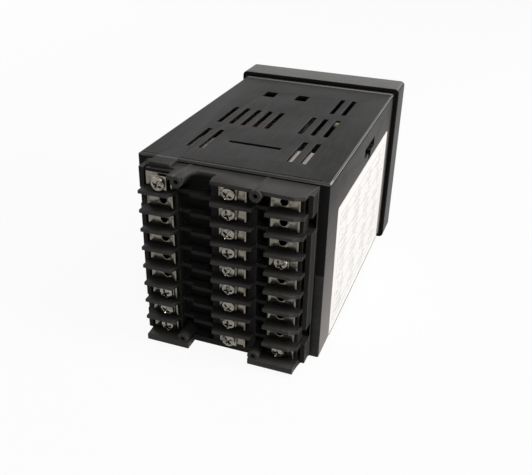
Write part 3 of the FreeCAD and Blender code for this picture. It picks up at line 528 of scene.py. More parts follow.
@dataclass(frozen=True)
class SeamedPlastic(MouldedPlastic):
    """Plastic of the case: paler down its side walls, with painted highlights on the lid's edges and
    painted shade inside.

    Attributes:
        seam_height: height of the joint between lid and walls.
        seam_width: width of the joint.
        side: how far out the side walls' faces start.
        lid: height where the lid's and the floor's faces start.
        rear: depth where the rear rim's faces start.
        front_highlight_depth: depth of the painted highlight band along the lid's front edge.
        corner: how far out and up the painted highlight band on the lid's long corners starts.
        paler: how many times paler than the rubbed colour those painted highlight bands are.
        haze: colour that the side walls fade to, paler towards the bottom.
        haze_top: height where the haze starts, Z.
        haze_fall: way down from there to full haze.
        lip: depth of the lid's rear lip, Y.
        lip_half: half the thickness of the lip's zone.
        lip_shade_top: height on the lip's face below which it has painted shade and above which painted
            light, Z.
        lip_painted_light: colour of the painted light on the lip above that.
    """

    seam_height: float = 43.75
    seam_width: float = 0.9
    side: float = 44.85
    lid: float = 45.05
    rear: float = 130.0
    front_highlight_depth: float = 2.2
    corner: float = 44.4
    paler: float = 5.8
    haze: Colour = (0.21, 0.195, 0.19)
    haze_top: float = 36.0
    haze_fall: float = 80.0
    lip: float = 135.0
    lip_half: float = 0.4
    lip_shade_top: float = 44.1
    lip_painted_light: Colour = (0.17, 0.167, 0.163)

    def material(self) -> bpy.types.Material:
        """Build the material.

        Returns:
            The plastic paler down its walls, then its painted highlight bands, its lip's painted light and
            shade, and last its dark joint and painted shade inside.
        """
        recipe = Recipe(self.name)
        colour, roughness, grain = self.shades(recipe)
        x, y, z = abs(recipe.x), recipe.y, recipe.z
        on_wall = x.above(self.side)
        fall = ((self.haze_top - z) / self.haze_fall).clamped()
        shade = recipe.blend(fall * on_wall, colour, self.haze)
        # Painted highlight: pale bands along the lid's front edge and along its long corners.
        front = y.below(self.front_highlight_depth, self.fade) * z.above(self.seam_height)
        corner = x.above(self.corner) * z.above(self.corner)
        bright = tuple(self.paler * c for c in self.rubbed)
        shade = recipe.blend((front + corner).clamped() * 0.8, shade, bright)
        # Painted light on the upper part of the lid's rear lip face, and painted shade on its lower part.
        at_lip = abs(y - self.lip).below(self.lip_half)
        shade = recipe.blend(at_lip * z.above(self.lip_shade_top), shade, self.lip_painted_light)
        foot = at_lip * z.below(self.lip_shade_top) * z.above(0.0)
        joint = abs(z - self.seam_height).below(self.seam_width / 2.0) * on_wall
        # Painted shade: the inside of the case is darkened, together with the lip's lower part; the joint
        # is the case's own dark seam.
        inside = abs(z).below(self.lid) * x.below(self.side) * y.below(self.rear)
        shade = recipe.blend((joint + inside + foot).clamped() * 0.92, shade, BLACK)
        # The joint is sunk four times as deep as the grain beside it.
        relief = grain * 0.2 + (1.0 - joint) * 0.8
        return self.closed(recipe, shade, roughness + inside * 0.2, relief, deeper=5.0)


@dataclass(frozen=True)
class PocketShadePlastic(MouldedPlastic):
    """Plastic of the terminal block, with painted shade deep in its pockets.

    Attributes:
        fade: width of the soft border of the painted shade in the pockets.
        depth: depth where the painted shade starts, Y.
        roof: height where the block's roof starts, Z.
        flank: how far out the block's side faces start.
        dark: colour of the painted shade in the pockets.
    """

    fade: float = 3.0
    depth: float = 148.0
    roof: float = 42.4
    flank: float = 44.6
    dark: Colour = (0.009, 0.0085, 0.008)

    def material(self) -> bpy.types.Material:
        """Build the material.

        Returns:
            The plastic with painted shade in its pockets.
        """
        recipe = Recipe(self.name)
        colour, roughness, grain = self.shades(recipe)
        # Painted shade: below the roof and inside the flanks, the block darkens in front of the given
        # depth.
        shallow = recipe.z.below(self.roof) * abs(recipe.x).below(self.flank)
        deep = recipe.y.below(self.depth, self.fade) * shallow
        shade = recipe.blend(deep * 0.85, colour, self.dark)
        return self.closed(recipe, shade, roughness + deep * 0.2, grain)


@dataclass(frozen=True)
class RimPlastic(MouldedPlastic):
    """Plastic with painted sheen and dust on top of its rim and painted shade on its back and flanks, as on
    the bezel.

    Attributes:
        back: depth where the painted shade on the back starts, Y.
        reach: how far out the faces of the rim start.
        dark: colour of the painted shade.
        dust_and_sheen: colour of the painted sheen and dust on the top and bottom of the rim.
        speck: size of the dust's specks.
    """

    back: float = -0.75
    reach: float = 47.3
    dark: Colour = (0.004, 0.004, 0.0035)
    dust_and_sheen: Colour = (0.2, 0.197, 0.191)
    speck: float = 0.8

    def material(self) -> bpy.types.Material:
        """Build the material.

        Returns:
            The plastic with painted sheen and dust on its top and bottom, and its painted shade over that.
        """
        recipe = Recipe(self.name)
        colour, roughness, grain = self.shades(recipe)
        # Painted shade on the back and, three quarters as strong, on the flanks; painted sheen broken by
        # dust specks on the top and bottom.
        behind = recipe.y.above(self.back, self.fade)
        dust = recipe.noise(self.speck, detail=3.0, stretch=self.streaks).contrast(start=0.125, gain=1.6)
        level = recipe.blend(abs(recipe.z).above(self.reach) * dust, colour, self.dust_and_sheen)
        unlit = (behind + abs(recipe.x).above(self.reach) * 0.75).clamped()
        shade = recipe.blend(unlit, level, self.dark)
        return self.closed(recipe, shade, roughness + behind * 0.45, grain)


@dataclass(frozen=True)
class MarkedKey(MouldedPlastic):
    """Plastic of a push key with its mark on the face.

    Attributes:
        mark: the mark.
        across: sideways place of the key's middle, X.
        up: height of the key's middle, Z.
        ink: colour of the mark.
        size: half the size of the mark.
        line: half the thickness of a ring.
        blur: soft edge of the mark.
    """

    mark: KeyMark = KeyMark.RING
    across: float = 0.0
    up: float = 0.0
    ink: Colour = (0.75, 0.75, 0.73)
    size: float = 2.1
    line: float = 0.35
    blur: float = 0.1

    def _mask(self, recipe: Recipe) -> Value:
        """Work out the mark: a ring, or a triangle that points its way.

        Args:
            recipe: material that it goes into.

        Returns:
            Mask of the mark.
        """
        x, z = recipe.x - self.across, recipe.z - self.up
        reach = self.size * 0.8
        if self.mark is KeyMark.RING:
            return abs((x * x + z * z) ** 0.5 - reach).below(self.line, self.blur)
        if self.mark is KeyMark.LEFT:
            x, z = z, -x
        tip = -z if self.mark is KeyMark.DOWN else z
        wide = (self.size - tip) * 0.6
        return abs(x).below(wide, self.blur) * abs(tip).below(reach, self.blur)

    def material(self) -> bpy.types.Material:
        """Build the material.

        Returns:
            The plastic with its mark, which stands a little proud.
        """
        recipe = Recipe(self.name)
        colour, roughness, grain = self.shades(recipe)
        mark = self._mask(recipe)
        return self.closed(recipe, recipe.blend(mark, colour, self.ink), roughness, grain + mark * 0.6)


@dataclass(frozen=True)
class BorderedPanel(MouldedPlastic):
    """Plastic of the front panel with a thin pale line round its window.

    Attributes:
        half_wide: half the width of the line's box.
        low: lower side of the box, Z.
        high: upper side of the box, Z.
        line: thickness of the line.
        ink: colour of the line.
    """

    half_wide: float = 39.0
    low: float = -8.0
    high: float = 36.0
    line: float = 0.5
    ink: Colour = (0.5, 0.5, 0.49)

    def material(self) -> bpy.types.Material:
        """Build the material.

        Returns:
            The plastic with its line.
        """
        recipe = Recipe(self.name)
        colour, roughness, grain = self.shades(recipe)
        border = recipe.frame((recipe.x, -self.half_wide, self.half_wide),
                              (recipe.z, self.low, self.high), self.line)
        return self.closed(recipe, recipe.blend(border, colour, self.ink), roughness, grain)


@dataclass(frozen=True)
class PlatedMetal(Finish):
    """Plated sheet or turned metal with fine rolling lines, smudges and warm tarnish.

    Attributes:
        colour: colour of the clean plating.
        tarnish: colour of the dulled patches.
        roughness: how matt the clean plating is.
        grain: how many times longer the rolling lines are along each axis.
        line: width of a rolling line.
        line_depth: its depth.
        smudge: size of a smudge.
    """

    colour: Colour
    tarnish: Colour
    roughness: float = 0.24
    grain: Triple = (12.0, 1.0, 1.0)
    line: float = 0.18
    line_depth: float = 0.012
    smudge: float = 3.2

    def material(self) -> bpy.types.Material:
        """Build the material.

        Returns:
            Bare metal, duller in its tarnished patches.
        """
        recipe = Recipe(self.name)
        line = recipe.noise(self.line, stretch=self.grain)
        dull = recipe.noise(self.smudge, detail=4.0).contrast(start=0.5, gain=4.5)
        roughness = self.roughness + dull * 0.2 + line.swing(0.12)
        return recipe.finish(recipe.blend(dull, self.colour, self.tarnish), roughness, line,
                             self.line_depth, {"Metallic": 1.0})


@dataclass(frozen=True)
class PrintedFilm(Finish):
    """White label film with faint grey generic print: ruled boxes and rows of plain bars.

    Attributes:
        colour: colour of the film.
        ink: colour of the print.
        front: front edge of the printed field, Y.
        rear: rear edge of the printed field, Y.
        low: lower edge of the printed field, Z.
        high: upper edge of the printed field, Z.
        rule: thickness of a ruled line.
        column: width of a ruled column.
        row: height of a ruled row.
        bar_pitch: distance between rows of bars.
        bar_shift: how far those rows are shifted down.
        word: length of a bar.
        indent: distance from a column's line to its bars.
        print_share: how far the ink covers the film, from 0 to 1.
        cut: height below which the film's lower edge is darker, Z.
        lower_edge_colour: colour of that edge.
    """

    colour: Colour
    ink: Colour
    front: float = 14.0
    rear: float = 112.0
    low: float = -39.0
    high: float = 20.0
    rule: float = 0.45
    column: float = 24.5
    row: float = 9.8
    bar_pitch: float = 3.27
    bar_shift: float = 1.4
    word: float = 4.6
    indent: float = 2.0
    print_share: float = 0.6
    cut: float = -43.7
    lower_edge_colour: Colour = (0.07, 0.068, 0.066)

    def _print_mask(self, recipe: Recipe) -> Value:
        """Work out the print.

        Args:
            recipe: material that it goes into.

        Returns:
            Mask of the border, the ruled lines and the broken rows of bars beside each column's line.
        """
        along, up = recipe.y - self.front, recipe.z - self.low
        sides = (recipe.y, self.front, self.rear), (recipe.z, self.low, self.high)
        field_mask, border = recipe.patch(*sides), recipe.frame(*sides, self.rule)
        columns = recipe.stripes(along, self.column, self.rule / self.column, soft=0.002)
        rows = recipe.stripes(up, self.row, self.rule / self.row, soft=0.004)
        words = recipe.cells(self.word, (1.0, 1.6, 1.0)).above(0.42, soft=0.1)
        bars = recipe.stripes(up + self.bar_shift, self.bar_pitch, share=0.34, soft=0.04) * words
        left_half = recipe.stripes(along - self.indent, self.column, share=0.56, soft=0.01)
        text = bars * left_half * (field_mask - border) * 0.7
        return (border + (columns + rows) * field_mask + text).clamped()

    def material(self) -> bpy.types.Material:
        """Build the material.

        Returns:
            The film with faint clouds, its print, and its darker lower edge.
        """
        recipe = Recipe(self.name)
        paper = recipe.noise(0.8, detail=3.0)
        cloud = (recipe.noise(20.0, detail=3.0) * 0.5).clamped()
        film = recipe.blend(cloud, self.colour, tuple(0.93 * c for c in self.colour))
        printed = recipe.blend(self._print_mask(recipe) * self.print_share, film, self.ink)
        shade = recipe.blend(recipe.z.below(self.cut), printed, self.lower_edge_colour)
        return recipe.finish(shade, 0.55 + paper * 0.12, paper, 0.01, {"Specular IOR Level": 0.15})


@dataclass(frozen=True)
class CircuitBoard(Finish):
    """Glass-fibre board under green mask, with copper tracks that show through and tinned pads.

    Attributes:
        mask: colour of the solder mask.
        track: colour of the mask over copper.
        tin: colour of a pad.
        pitch: distance between tracks in mm, half of that between pads.
    """

    mask: Colour = (0.012, 0.085, 0.04)
    track: Colour = (0.03, 0.17, 0.08)
    tin: Colour = (0.62, 0.6, 0.55)
    pitch: float = 2.54

    def material(self) -> bpy.types.Material:
        """Build the material.

        Returns:
            The board with wavering tracks in two directions and round pads.
        """
        recipe = Recipe(self.name)
        bend = recipe.noise(18.0, detail=1.0) * 9.0
        tracks = recipe.stripes(recipe.z + recipe.x + bend, self.pitch, share=0.42, soft=0.06)
        cross = recipe.stripes(recipe.y + bend, 2.0 * self.pitch, share=0.2, soft=0.04)
        copper = tracks.most(cross)
        pad = recipe.cells(2.0 * self.pitch).below(0.16, soft=0.03)
        shade = recipe.blend(pad, recipe.blend(copper, self.mask, self.track), self.tin)
        return recipe.finish(shade, 0.34 - pad * 0.08, copper + pad, 0.04,
                             {"Metallic": pad * 0.8, "Coat Weight": 0.35 - pad * 0.3})


@dataclass(frozen=True)
class LayeredPart(Finish):
    """Stacked or wound part: thin layers along one axis, such as laminations or turns of tape.

    Attributes:
        colour: colour of a layer.
        gap: colour between layers.
        axis: axis across the layers.
        pitch: thickness of a layer.
        roughness: how matt it is.
    """

    colour: Colour
    gap: Colour
    axis: Axis
    pitch: float
    roughness: float = 0.45

    def material(self) -> bpy.types.Material:
        """Build the material.

        Returns:
            The layers, with faint patches and a groove between each two.
        """
        recipe = Recipe(self.name)
        between = recipe.stripes(getattr(recipe, self.axis.value), self.pitch, share=0.22, soft=0.12)
        patchy = recipe.noise(2.5, detail=3.0)
        mixed = (between * 0.8 + patchy.swing(0.4)).clamped()
        return recipe.finish(recipe.blend(mixed, self.colour, self.gap),
                             self.roughness + patchy.swing(0.2), 1.0 - between, 0.06)


@dataclass(frozen=True)
class ShrinkSleeve(Finish):
    """Glossy sleeve of a round capacitor with a pale stripe down one side.

    Attributes:
        colour: colour of the sleeve.
        stripe: colour of the stripe.
        height: height of the stripe's middle, Z.
        half_wide: half the width of the stripe.
    """

    colour: Colour
    stripe: Colour
    height: float
    half_wide: float = 2.2

    def material(self) -> bpy.types.Material:
        """Build the material.

        Returns:
            The dusty sleeve with its stripe.
        """
        recipe = Recipe(self.name)
        band = abs(recipe.z - self.height).below(self.half_wide, soft=0.3)
        dust = recipe.noise(1.5, detail=3.0)
        return recipe.finish(recipe.blend(band, self.colour, self.stripe), 0.2 + dust * 0.25, dust, 0.02,
                             {"Coat Weight": 0.3})


@dataclass(frozen=True)
class SmokedWindow(Finish):
    """Dark clear window with a faint haze of fine scratches.

    Attributes:
        tint: colour of the light that it lets through.
        clear: how much of the light it lets through, from 0 to 1.
    """

    tint: Colour = (0.35, 0.34, 0.33)
    clear: float = 0.85

    def material(self) -> bpy.types.Material:
        """Build the material.

        Returns:
            Acrylic with haze and scratches.
        """
        recipe = Recipe(self.name)
        haze = recipe.noise(6.0, detail=4.0)
        scratch = recipe.noise(0.25, stretch=(14.0, 1.0, 2.0)).above(0.66, soft=0.05)
        return recipe.finish(self.tint, 0.06 + haze * 0.06 + scratch * 0.12, scratch, 0.002,
                             {"Transmission Weight": self.clear, "IOR": ACRYLIC_IOR})


@dataclass(frozen=True)
class LampLens(Finish):
    """Tinted diffusing lens with a fine moulded ribbing.

    Attributes:
        colour: tint of the lens.
        rib: distance between ribs.
    """

    colour: Colour
    rib: float = 0.4

    def material(self) -> bpy.types.Material:
        """Build the material.

        Returns:
            The ribbed lens, paler in places.
        """
        recipe = Recipe(self.name)
        rib = recipe.stripes(recipe.x, self.rib, share=0.5, soft=0.3)
        cloud = recipe.noise(0.9)
        pale = tuple(min(1.0, 1.5 * c) for c in self.colour)
        return recipe.finish(recipe.blend(cloud * 0.5, self.colour, pale), 0.22 + cloud * 0.15, rib, 0.02,
                             {"Coat Weight": 0.4})


# --- Surfaces ---
POLE_GAP = 1e-7  # metres between points that close a pole
SAME_POINT = 2e-6  # metres between a node's points that are one corner
TINY = 1e-9  # keeps a quotient finite
SHARP = math.radians(32.0)  # a new piece's edges stay sharp above this
FLAT = math.radians(0.5)  # loose triangles below this are one flat face
EASED = math.radians(28.0)  # a node's edges are rounded above this
EASE_FACETS = 2  # facets across a rounded edge


def linked(name: str, data: bpy.types.ID) -> bpy.types.Object:
    """Make an object of some data and put it into the scene.

    Args:
        name: name of the object.
        data: its mesh, lamp or camera.

    Returns:
        The object, at the origin.
    """
    item = bpy.data.objects.new(name, data)
    bpy.context.scene.collection.objects.link(item)
    return item


def shade_smooth(mesh: bpy.types.Mesh) -> None:
    """Shade every face of a mesh smooth."""
    mesh.polygons.foreach_set("use_smooth", np.ones(len(mesh.polygons), dtype=bool))


class Shape:
    """Surfaces collected for one piece, as points in millimetres and quads."""

    def __init__(self) -> None:
        """Start empty."""
        self._points: list[np.ndarray] = []
        self._faces: list[np.ndarray] = []
        self._count = 0

    def add(self, grid: np.ndarray, ring: bool = False) -> None:
        """Add one surface given on a grid, whose last column meets its first.

        Quads join each point to its neighbours in the next row and column.

        Args:
            grid: points as an array of rows x columns x 3, in mm.
            ring: whether the last row meets the first too.
        """
        rows, columns = grid.shape[:2]
        index = np.arange(rows * columns).reshape(rows, columns) + self._count
        index = np.hstack((index, index[:, :1]))
        if ring:
            index = np.vstack((index, index[:1]))
        quads = np.stack((index[:-1, :-1], index[:-1, 1:], index[1:, 1:], index[1:, :-1]), axis=-1)
        self._points.append(grid.reshape(-1, 3))
        self._faces.append(quads.reshape(-1, 4))
        self._count += rows * columns

    def build(self, name: str) -> bpy.types.Object:
        """Make the piece's object, with poles closed and normals outwards.

        Args:
            name: name of the object.

        Returns:
            The object, at the origin.
        """
        mesh = bpy.data.meshes.new(name)
        mesh.from_pydata(np.concatenate(self._points) * MM, [], np.concatenate(self._faces).tolist())
        work = bmesh.new()
        work.from_mesh(mesh)
        bmesh.ops.remove_doubles(work, verts=work.verts, dist=POLE_GAP)
        bmesh.ops.dissolve_degenerate(work, edges=work.edges, dist=POLE_GAP / 10.0)
        bmesh.ops.recalc_face_normals(work, faces=work.faces)
        work.to_mesh(mesh)
        work.free()
        shade_smooth(mesh)
        mesh.set_sharp_from_angle(angle=SHARP)
        return linked(name, mesh)


def pierced_plate(low: Spot, high: Spot, hole: Triple, back: float, thick: float, ease: float = 0.12,
                  pitch: float = 0.6, thread: float = 0.1) -> np.ndarray:
    """Rectangular plate with a threaded round hole, as one ring-shaped surface.

    Each ray leaves the hole's middle at its own angle. Along it a section runs up the eased inner rim, out
    over the face to the rectangle's edge, down the eased side, back under the plate and up the hole's
    wall, whose radius waves once per thread pitch and turns with the angle, so that the wave is a helix.

    Args:
        low: lowest X and Z of the rectangle.
        high: highest X and Z of the rectangle.
        hole: X, Z and radius of the hole.
        back: Y of the plate's back.
        thick: thickness along Y.
        ease: rounding of the edges.
        pitch: thread pitch.
        thread: depth of the thread.

    Returns:
        Points on a grid of angles x section, both closed.
    """
    across, up, radius = hole
    corners = [math.atan2(z - up, x - across) % FULL_TURN
               for x in (low[0], high[0]) for z in (low[1], high[1])]
    angle = np.unique(np.concatenate((np.linspace(0.0, FULL_TURN, 48, endpoint=False), corners)))[:, None]
    way_x, way_z = np.cos(angle), np.sin(angle)
    limit_x = np.where(way_x > 0, high[0] - across, across - low[0]) / np.maximum(np.abs(way_x), TINY)
    limit_z = np.where(way_z > 0, high[1] - up, up - low[1]) / np.maximum(np.abs(way_z), TINY)
    rim = np.minimum(limit_x, limit_z)
    # Stations: nine up the wall, three over the face, three down the side and three under the plate.
    wall = np.linspace(ease, thick - ease, 9)
    share = np.array([0.0] * 10 + [0.5] + [1.0] * 5 + [0.5, 0.0])
    step = np.array([*wall, thick, thick, thick, thick - 0.3 * ease, thick - ease, ease, 0.0, 0.0, 0.0])
    shift = np.array([0.0] * 9 + [ease, 0.0, -ease, -0.3 * ease, 0.0, 0.0, -ease, 0.0, ease])
    on_wall = np.arange(step.size) < wall.size
    wave = -thread * (0.5 + 0.5 * np.cos(FULL_TURN * step / pitch - angle)) * on_wall
    reach = radius + (rim - radius) * share + shift + wave
    depth = np.broadcast_to(back + step, reach.shape)
    return np.stack((across + way_x * reach, depth, up + way_z * reach), axis=-1)


def rounded_bar(low: Triple, high: Triple, ease: float) -> np.ndarray:
    """Upright bar with rounded edges, closed at both ends.

    Its level section is a rectangle whose corners are quarter circles. The section is carried up from the
    lowest to the highest point and drawn in by the rounding at both ends, where it shrinks to a point.

    Args:
        low: lowest corner in mm.
        high: highest corner in mm.
        ease: rounding in mm.

    Returns:
        Points on a grid of heights x section, closed along the section.
    """
    turn = np.linspace(0.0, FULL_TURN, 24, endpoint=False)
    low, high = np.asarray(low), np.asarray(high)
    rise = ease * np.array([0.0, 0.0, 0.3, 1.0])
    height = np.concatenate((low[2] + rise, high[2] - rise[::-1]))
    inset = (ease - np.concatenate((rise, rise[::-1])))[:, None]
    scale = np.array([0.0, 1.0, 1.0, 1.0, 1.0, 1.0, 1.0, 0.0])[:, None]

    def level(axis: int, way: np.ndarray) -> np.ndarray:
        """Places along one level axis, where way is the cosine or sine of the turn."""
        out = np.sign(way) * ((high[axis] - low[axis]) / 2.0 - ease) + way * ease
        return (low[axis] + high[axis]) / 2.0 + (out - np.sign(out) * inset) * scale

    x, y = level(0, np.cos(turn)), level(1, np.sin(turn))
    return np.stack((x, y, np.broadcast_to(height[:, None], x.shape)), axis=-1)


def pan_head(place: Triple, radius: float, tall: float, turned: float,
             recess: Triple = (2.3, 0.5, 1.4)) -> np.ndarray:
    """Pan head of a cross-recessed screw.

    The height falls from the middle to the rim like a flattened ellipse, and the side drops straight down
    from there. The recess is two crossed bars whose depth grows towards the middle, cut below that dome
    with steep soft walls.

    Args:
        place: X, Y and Z of the middle of the head's seat.
        radius: radius of the head.
        tall: height of the head.
        turned: angle of the recess in radians.
        recess: half length, half width and depth of the cross.

    Returns:
        Points on a grid of rings x angles, closed along the angles.
    """
    long, wide, deep = recess
    wall, run = 0.16, 0.9  # way over which the recess's sides and its far ends fall away
    ring = np.concatenate((np.linspace(0.0, 0.66, 26), np.linspace(0.7, 1.0, 12)))[:, None]
    angle = np.linspace(0.0, FULL_TURN, 96, endpoint=False)[None, :]
    out = ring * radius
    dome = tall * (0.45 + 0.55 * np.sqrt(np.clip(1.0 - ring ** 2.4, 0.0, 1.0))) * np.ones_like(angle)
    along, across = np.abs(out * np.cos(angle - turned)), np.abs(out * np.sin(angle - turned))
    cut = np.zeros_like(along)
    for first, second in ((along, across), (across, along)):
        inside = np.clip((wide * (1.25 - 0.35 * first / long) - second) / wall, 0.0, 1.0)
        slope = np.clip((long - first) / run, 0.0, 1.0)
        cut = np.maximum(cut, inside * slope)
    # Below the rim the side drops to the seat, turns in a little and closes to the middle.
    side = np.array([0.3, 0.1, 0.0, 0.0])[:, None] * tall * np.ones_like(angle)
    height = np.concatenate((dome - deep * cut, side))
    out = np.concatenate((ring, np.array([1.0, 1.0, 0.98, 0.0])[:, None])) * radius
    return np.stack((out * np.cos(angle), height, out * np.sin(angle)), axis=-1) + np.asarray(place)


def threaded_shank(place: Triple, radius: float, length: float, pitch: float = 0.6,
                   thread: float = 0.14) -> np.ndarray:
    """Threaded shank that runs from a place towards -Y.

    The radius waves with the distance along the shank minus a share of the turn, which makes a helix, and
    closes to a point at both ends.

    Args:
        place: X, Y and Z of the middle of its thick end.
        radius: outer radius.
        length: length along Y.
        pitch: thread pitch.
        thread: depth of the thread.

    Returns:
        Points on a grid of stations x angles, closed along the angles.
    """
    station = np.linspace(0.0, length, 61)[:, None]
    angle = np.linspace(0.0, FULL_TURN, 32, endpoint=False)[None, :]
    out = radius - thread * (0.5 + 0.5 * np.cos(FULL_TURN * station / pitch - angle))
    body = np.stack((out * np.cos(angle), -station * np.ones_like(angle), out * np.sin(angle)), axis=-1)
    ends = [np.broadcast_to(np.array([0.0, level, 0.0]), (1, angle.size, 3)) for level in (0.0, -length)]
    return np.concatenate((ends[0], body, ends[1])) + np.asarray(place)


def digit_bar(start: Spot, end: Spot, width: float, front: float, thick: float) -> np.ndarray:
    """One segment of a digit: a flat six-sided bar with pointed ends.

    Its outline runs round the line between two points at half the width, with its ends drawn out to the
    points; the outline is carried from the front to the back and closed to its middle at both.

    Args:
        start: X and Z of one pointed end.
        end: X and Z of the other.
        width: width of the bar.
        front: Y of its front face.
        thick: thickness along Y.

    Returns:
        Points on a grid of levels x outline, closed along the outline.
    """
    first, last = np.array(start), np.array(end)
    way = (last - first) / np.linalg.norm(last - first)
    side = np.array([-way[1], way[0]]) * width / 2.0
    inner, outer = first + way * width / 2.0, last - way * width / 2.0
    outline = np.array([first, inner + side, outer + side, last, outer - side, inner - side])
    middle = np.broadcast_to((first + last) / 2.0, outline.shape)
    rings = [(middle, front), (outline, front), (outline, front + thick), (middle, front + thick)]
    return np.stack([np.insert(ring, 1, y, axis=1) for ring, y in rings])


def softened(node: bpy.types.Object, name: str, ease: float) -> bpy.types.Object:
    """Copy of a node whose sharp edges are rounded, with its loose triangles merged into flat faces.

    Args:
        node: the node to stand in for.
        name: name of the new piece.
        ease: rounding of its edges in mm.

    Returns:
        The new piece.
    """
    mesh = node.data.copy()
    mesh.name = name
    work = bmesh.new()
    work.from_mesh(mesh)
    bmesh.ops.remove_doubles(work, verts=work.verts, dist=SAME_POINT)
    bmesh.ops.dissolve_limit(work, angle_limit=FLAT, verts=work.verts, edges=work.edges)
    work.to_mesh(mesh)
    work.free()
    shade_smooth(mesh)
    piece = linked(name, mesh)
    bevel = piece.modifiers.new("rounded edges", "BEVEL")
    bevel.width, bevel.segments = ease * MM, EASE_FACETS
    bevel.limit_method, bevel.angle_limit = "ANGLE", EASED
    bevel.harden_normals = True
    return piece


def dress(piece: bpy.types.Object, material: bpy.types.Material) -> None:
    """Give a piece or node one material in all its slots.

    Args:
        piece: the piece or node.
        material: the material.
    """
    if not piece.material_slots:
        piece.data.materials.append(material)
    for slot in piece.material_slots:
        slot.material = material


def fit(piece: bpy.types.Object, material: bpy.types.Material, body: Body, slot: Slot,
        *nodes: str) -> None:
    """Dress a new piece, let it ride on a body and stand in for nodes.

    Args:
        piece: the new piece.
        material: its finish.
        body: body that it rides on.
        slot: slot of the record that it takes its finish from; not used.
        nodes: names of the nodes that it replaces.
    """
    dress(piece, material)
    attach(piece, body.value)
    if nodes:
        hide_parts(*nodes)


def span(node: str) -> tuple[np.ndarray, np.ndarray]:
    """Lowest and highest corner of a node in mm."""
    low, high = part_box(node)
    return np.array(low) / MM, np.array(high) / MM


# --- Sub-assemblies ---
@dataclass
class MouldedPiece:
    """Softened stand-in for one moulded node, with painted highlight and wear on its rounded edges.

    Attributes:
        nodes: nodes of the frame by name.
        node: the node's name.
        piece: name of the new piece.
        slot: slot of the record that it takes its finish from.
        ease: rounding of its edges.
        finish: its plastic.
    """

    nodes: Mapping[str, bpy.types.Object]
    node: str
    piece: str
    slot: Slot
    ease: float
    finish: MouldedPlastic

    def build(self) -> None:
        """Make the piece."""
        piece = softened(self.nodes[self.node], self.piece, self.ease)
        fit(piece, self.finish.material(), Body.CASE, self.slot, self.node)
        piece.data.materials.append(self.finish.edge_highlight_and_wear_material())
        for modifier in piece.modifiers:
            modifier.material = len(piece.data.materials) - 1


@dataclass
class CaseShell(MouldedPiece):
    """Vented case with its eased edges and the joint line under its lid."""

    node: str = "housing"
    piece: str = "case_shell"
    slot: Slot = Slot.CASE
    ease: float = 0.15
    # The case's plastic paints highlights on the lid's edges, light and shade on its rear lip, and shade
    # inside.
    finish: MouldedPlastic = SeamedPlastic(
        "case plastic", (0.039, 0.038, 0.038), (0.06, 0.059, 0.057), roughness=0.7, grain=0.55, rub=0.9)


@dataclass
class FrontBezel(MouldedPiece):
    """Frame round the front, smoother than the case."""

    node: str = "bezel"
    piece: str = "front_bezel"
    slot: Slot = Slot.BEZEL
    ease: float = 0.2
    # The bezel's plastic paints sheen on its top and bottom and shade on its back and flanks.
    finish: MouldedPlastic = RimPlastic(
        "bezel plastic", (0.06, 0.0595, 0.058), (0.1, 0.099, 0.096), roughness=0.45, grain=0.35,
        grain_depth=0.01, rub=0.7, edge=2.0, streaks=(14.0, 1.0, 0.5))


@dataclass
class TerminalBlock(MouldedPiece):
    """Black moulded barrier block."""

    node: str = "terminal_block"
    piece: str = "barrier_block"
    slot: Slot = Slot.BLOCK
    ease: float = 0.3
    # The block's plastic paints shade deep in its pockets.
    finish: MouldedPlastic = PocketShadePlastic(
        "block plastic", (0.05, 0.048, 0.046), (0.08, 0.077, 0.073), roughness=0.5, grain=0.4,
        grain_depth=0.02, rub=0.6)


@dataclass
class DisplayRow:
    """One row of seven-segment digits on its display module.

    Attributes:
        module: node that carries the digits.
        digits: number of digits.
        tall: height of a digit.
        pitch: distance between digits.
        bar: width of a segment.
        colour: colour of the unlit segments.
        lean: sideways lean per mm of height.
        thick: how far the segments stand out.
    """

    module: str
    digits: int
    tall: float
    pitch: float
    bar: float
    colour: Colour
    lean: float = 0.12
    thick: float = 0.12

    def _segments(self, middle: float, up: float) -> list[tuple[Spot, Spot]]:
        """Work out one digit. It leans towards +X as it rises, because the front is seen from -Y.

        Args:
            middle: sideways place of its middle, X in mm.
            up: height of its middle, Z in mm.

        Returns:
            Both ends of the seven segments and of the point after them.
        """
        half_wide, half_tall = self.tall * 0.27, self.tall / 2.0
        gap = self.bar * 0.12
        levels = (-half_tall, 0.0, half_tall)

        def spot(across: float, rise: float) -> Spot:
            """Point of the digit with its lean."""
            return middle + across + self.lean * rise, up + rise

        level = [(spot(-half_wide + gap, rise), spot(half_wide - gap, rise)) for rise in levels]
        upright = [(spot(side, low + gap), spot(side, high - gap)) for side in (-half_wide, half_wide)
                   for low, high in zip(levels, levels[1:])]
        dot, half_dot = self.pitch * 0.44, self.bar * 0.7
        return level + upright + [(spot(dot - half_dot, -half_tall), spot(dot + half_dot, -half_tall))]

    def build(self) -> None:
        """Make the digits."""
        low, high = span(self.module)
        shape = Shape()
        for index in range(self.digits):
            middle = (index - (self.digits - 1) / 2.0) * self.pitch
            for start, end in self._segments(middle, (low[2] + high[2]) / 2.0):
                shape.add(digit_bar(start, end, self.bar, low[1] - self.thick, self.thick))
        finish = LampLens(self.module + " segments", self.colour)
        fit(shape.build(self.module + "_digits"), finish.material(), Body.CASE, Slot.DISPLAY)


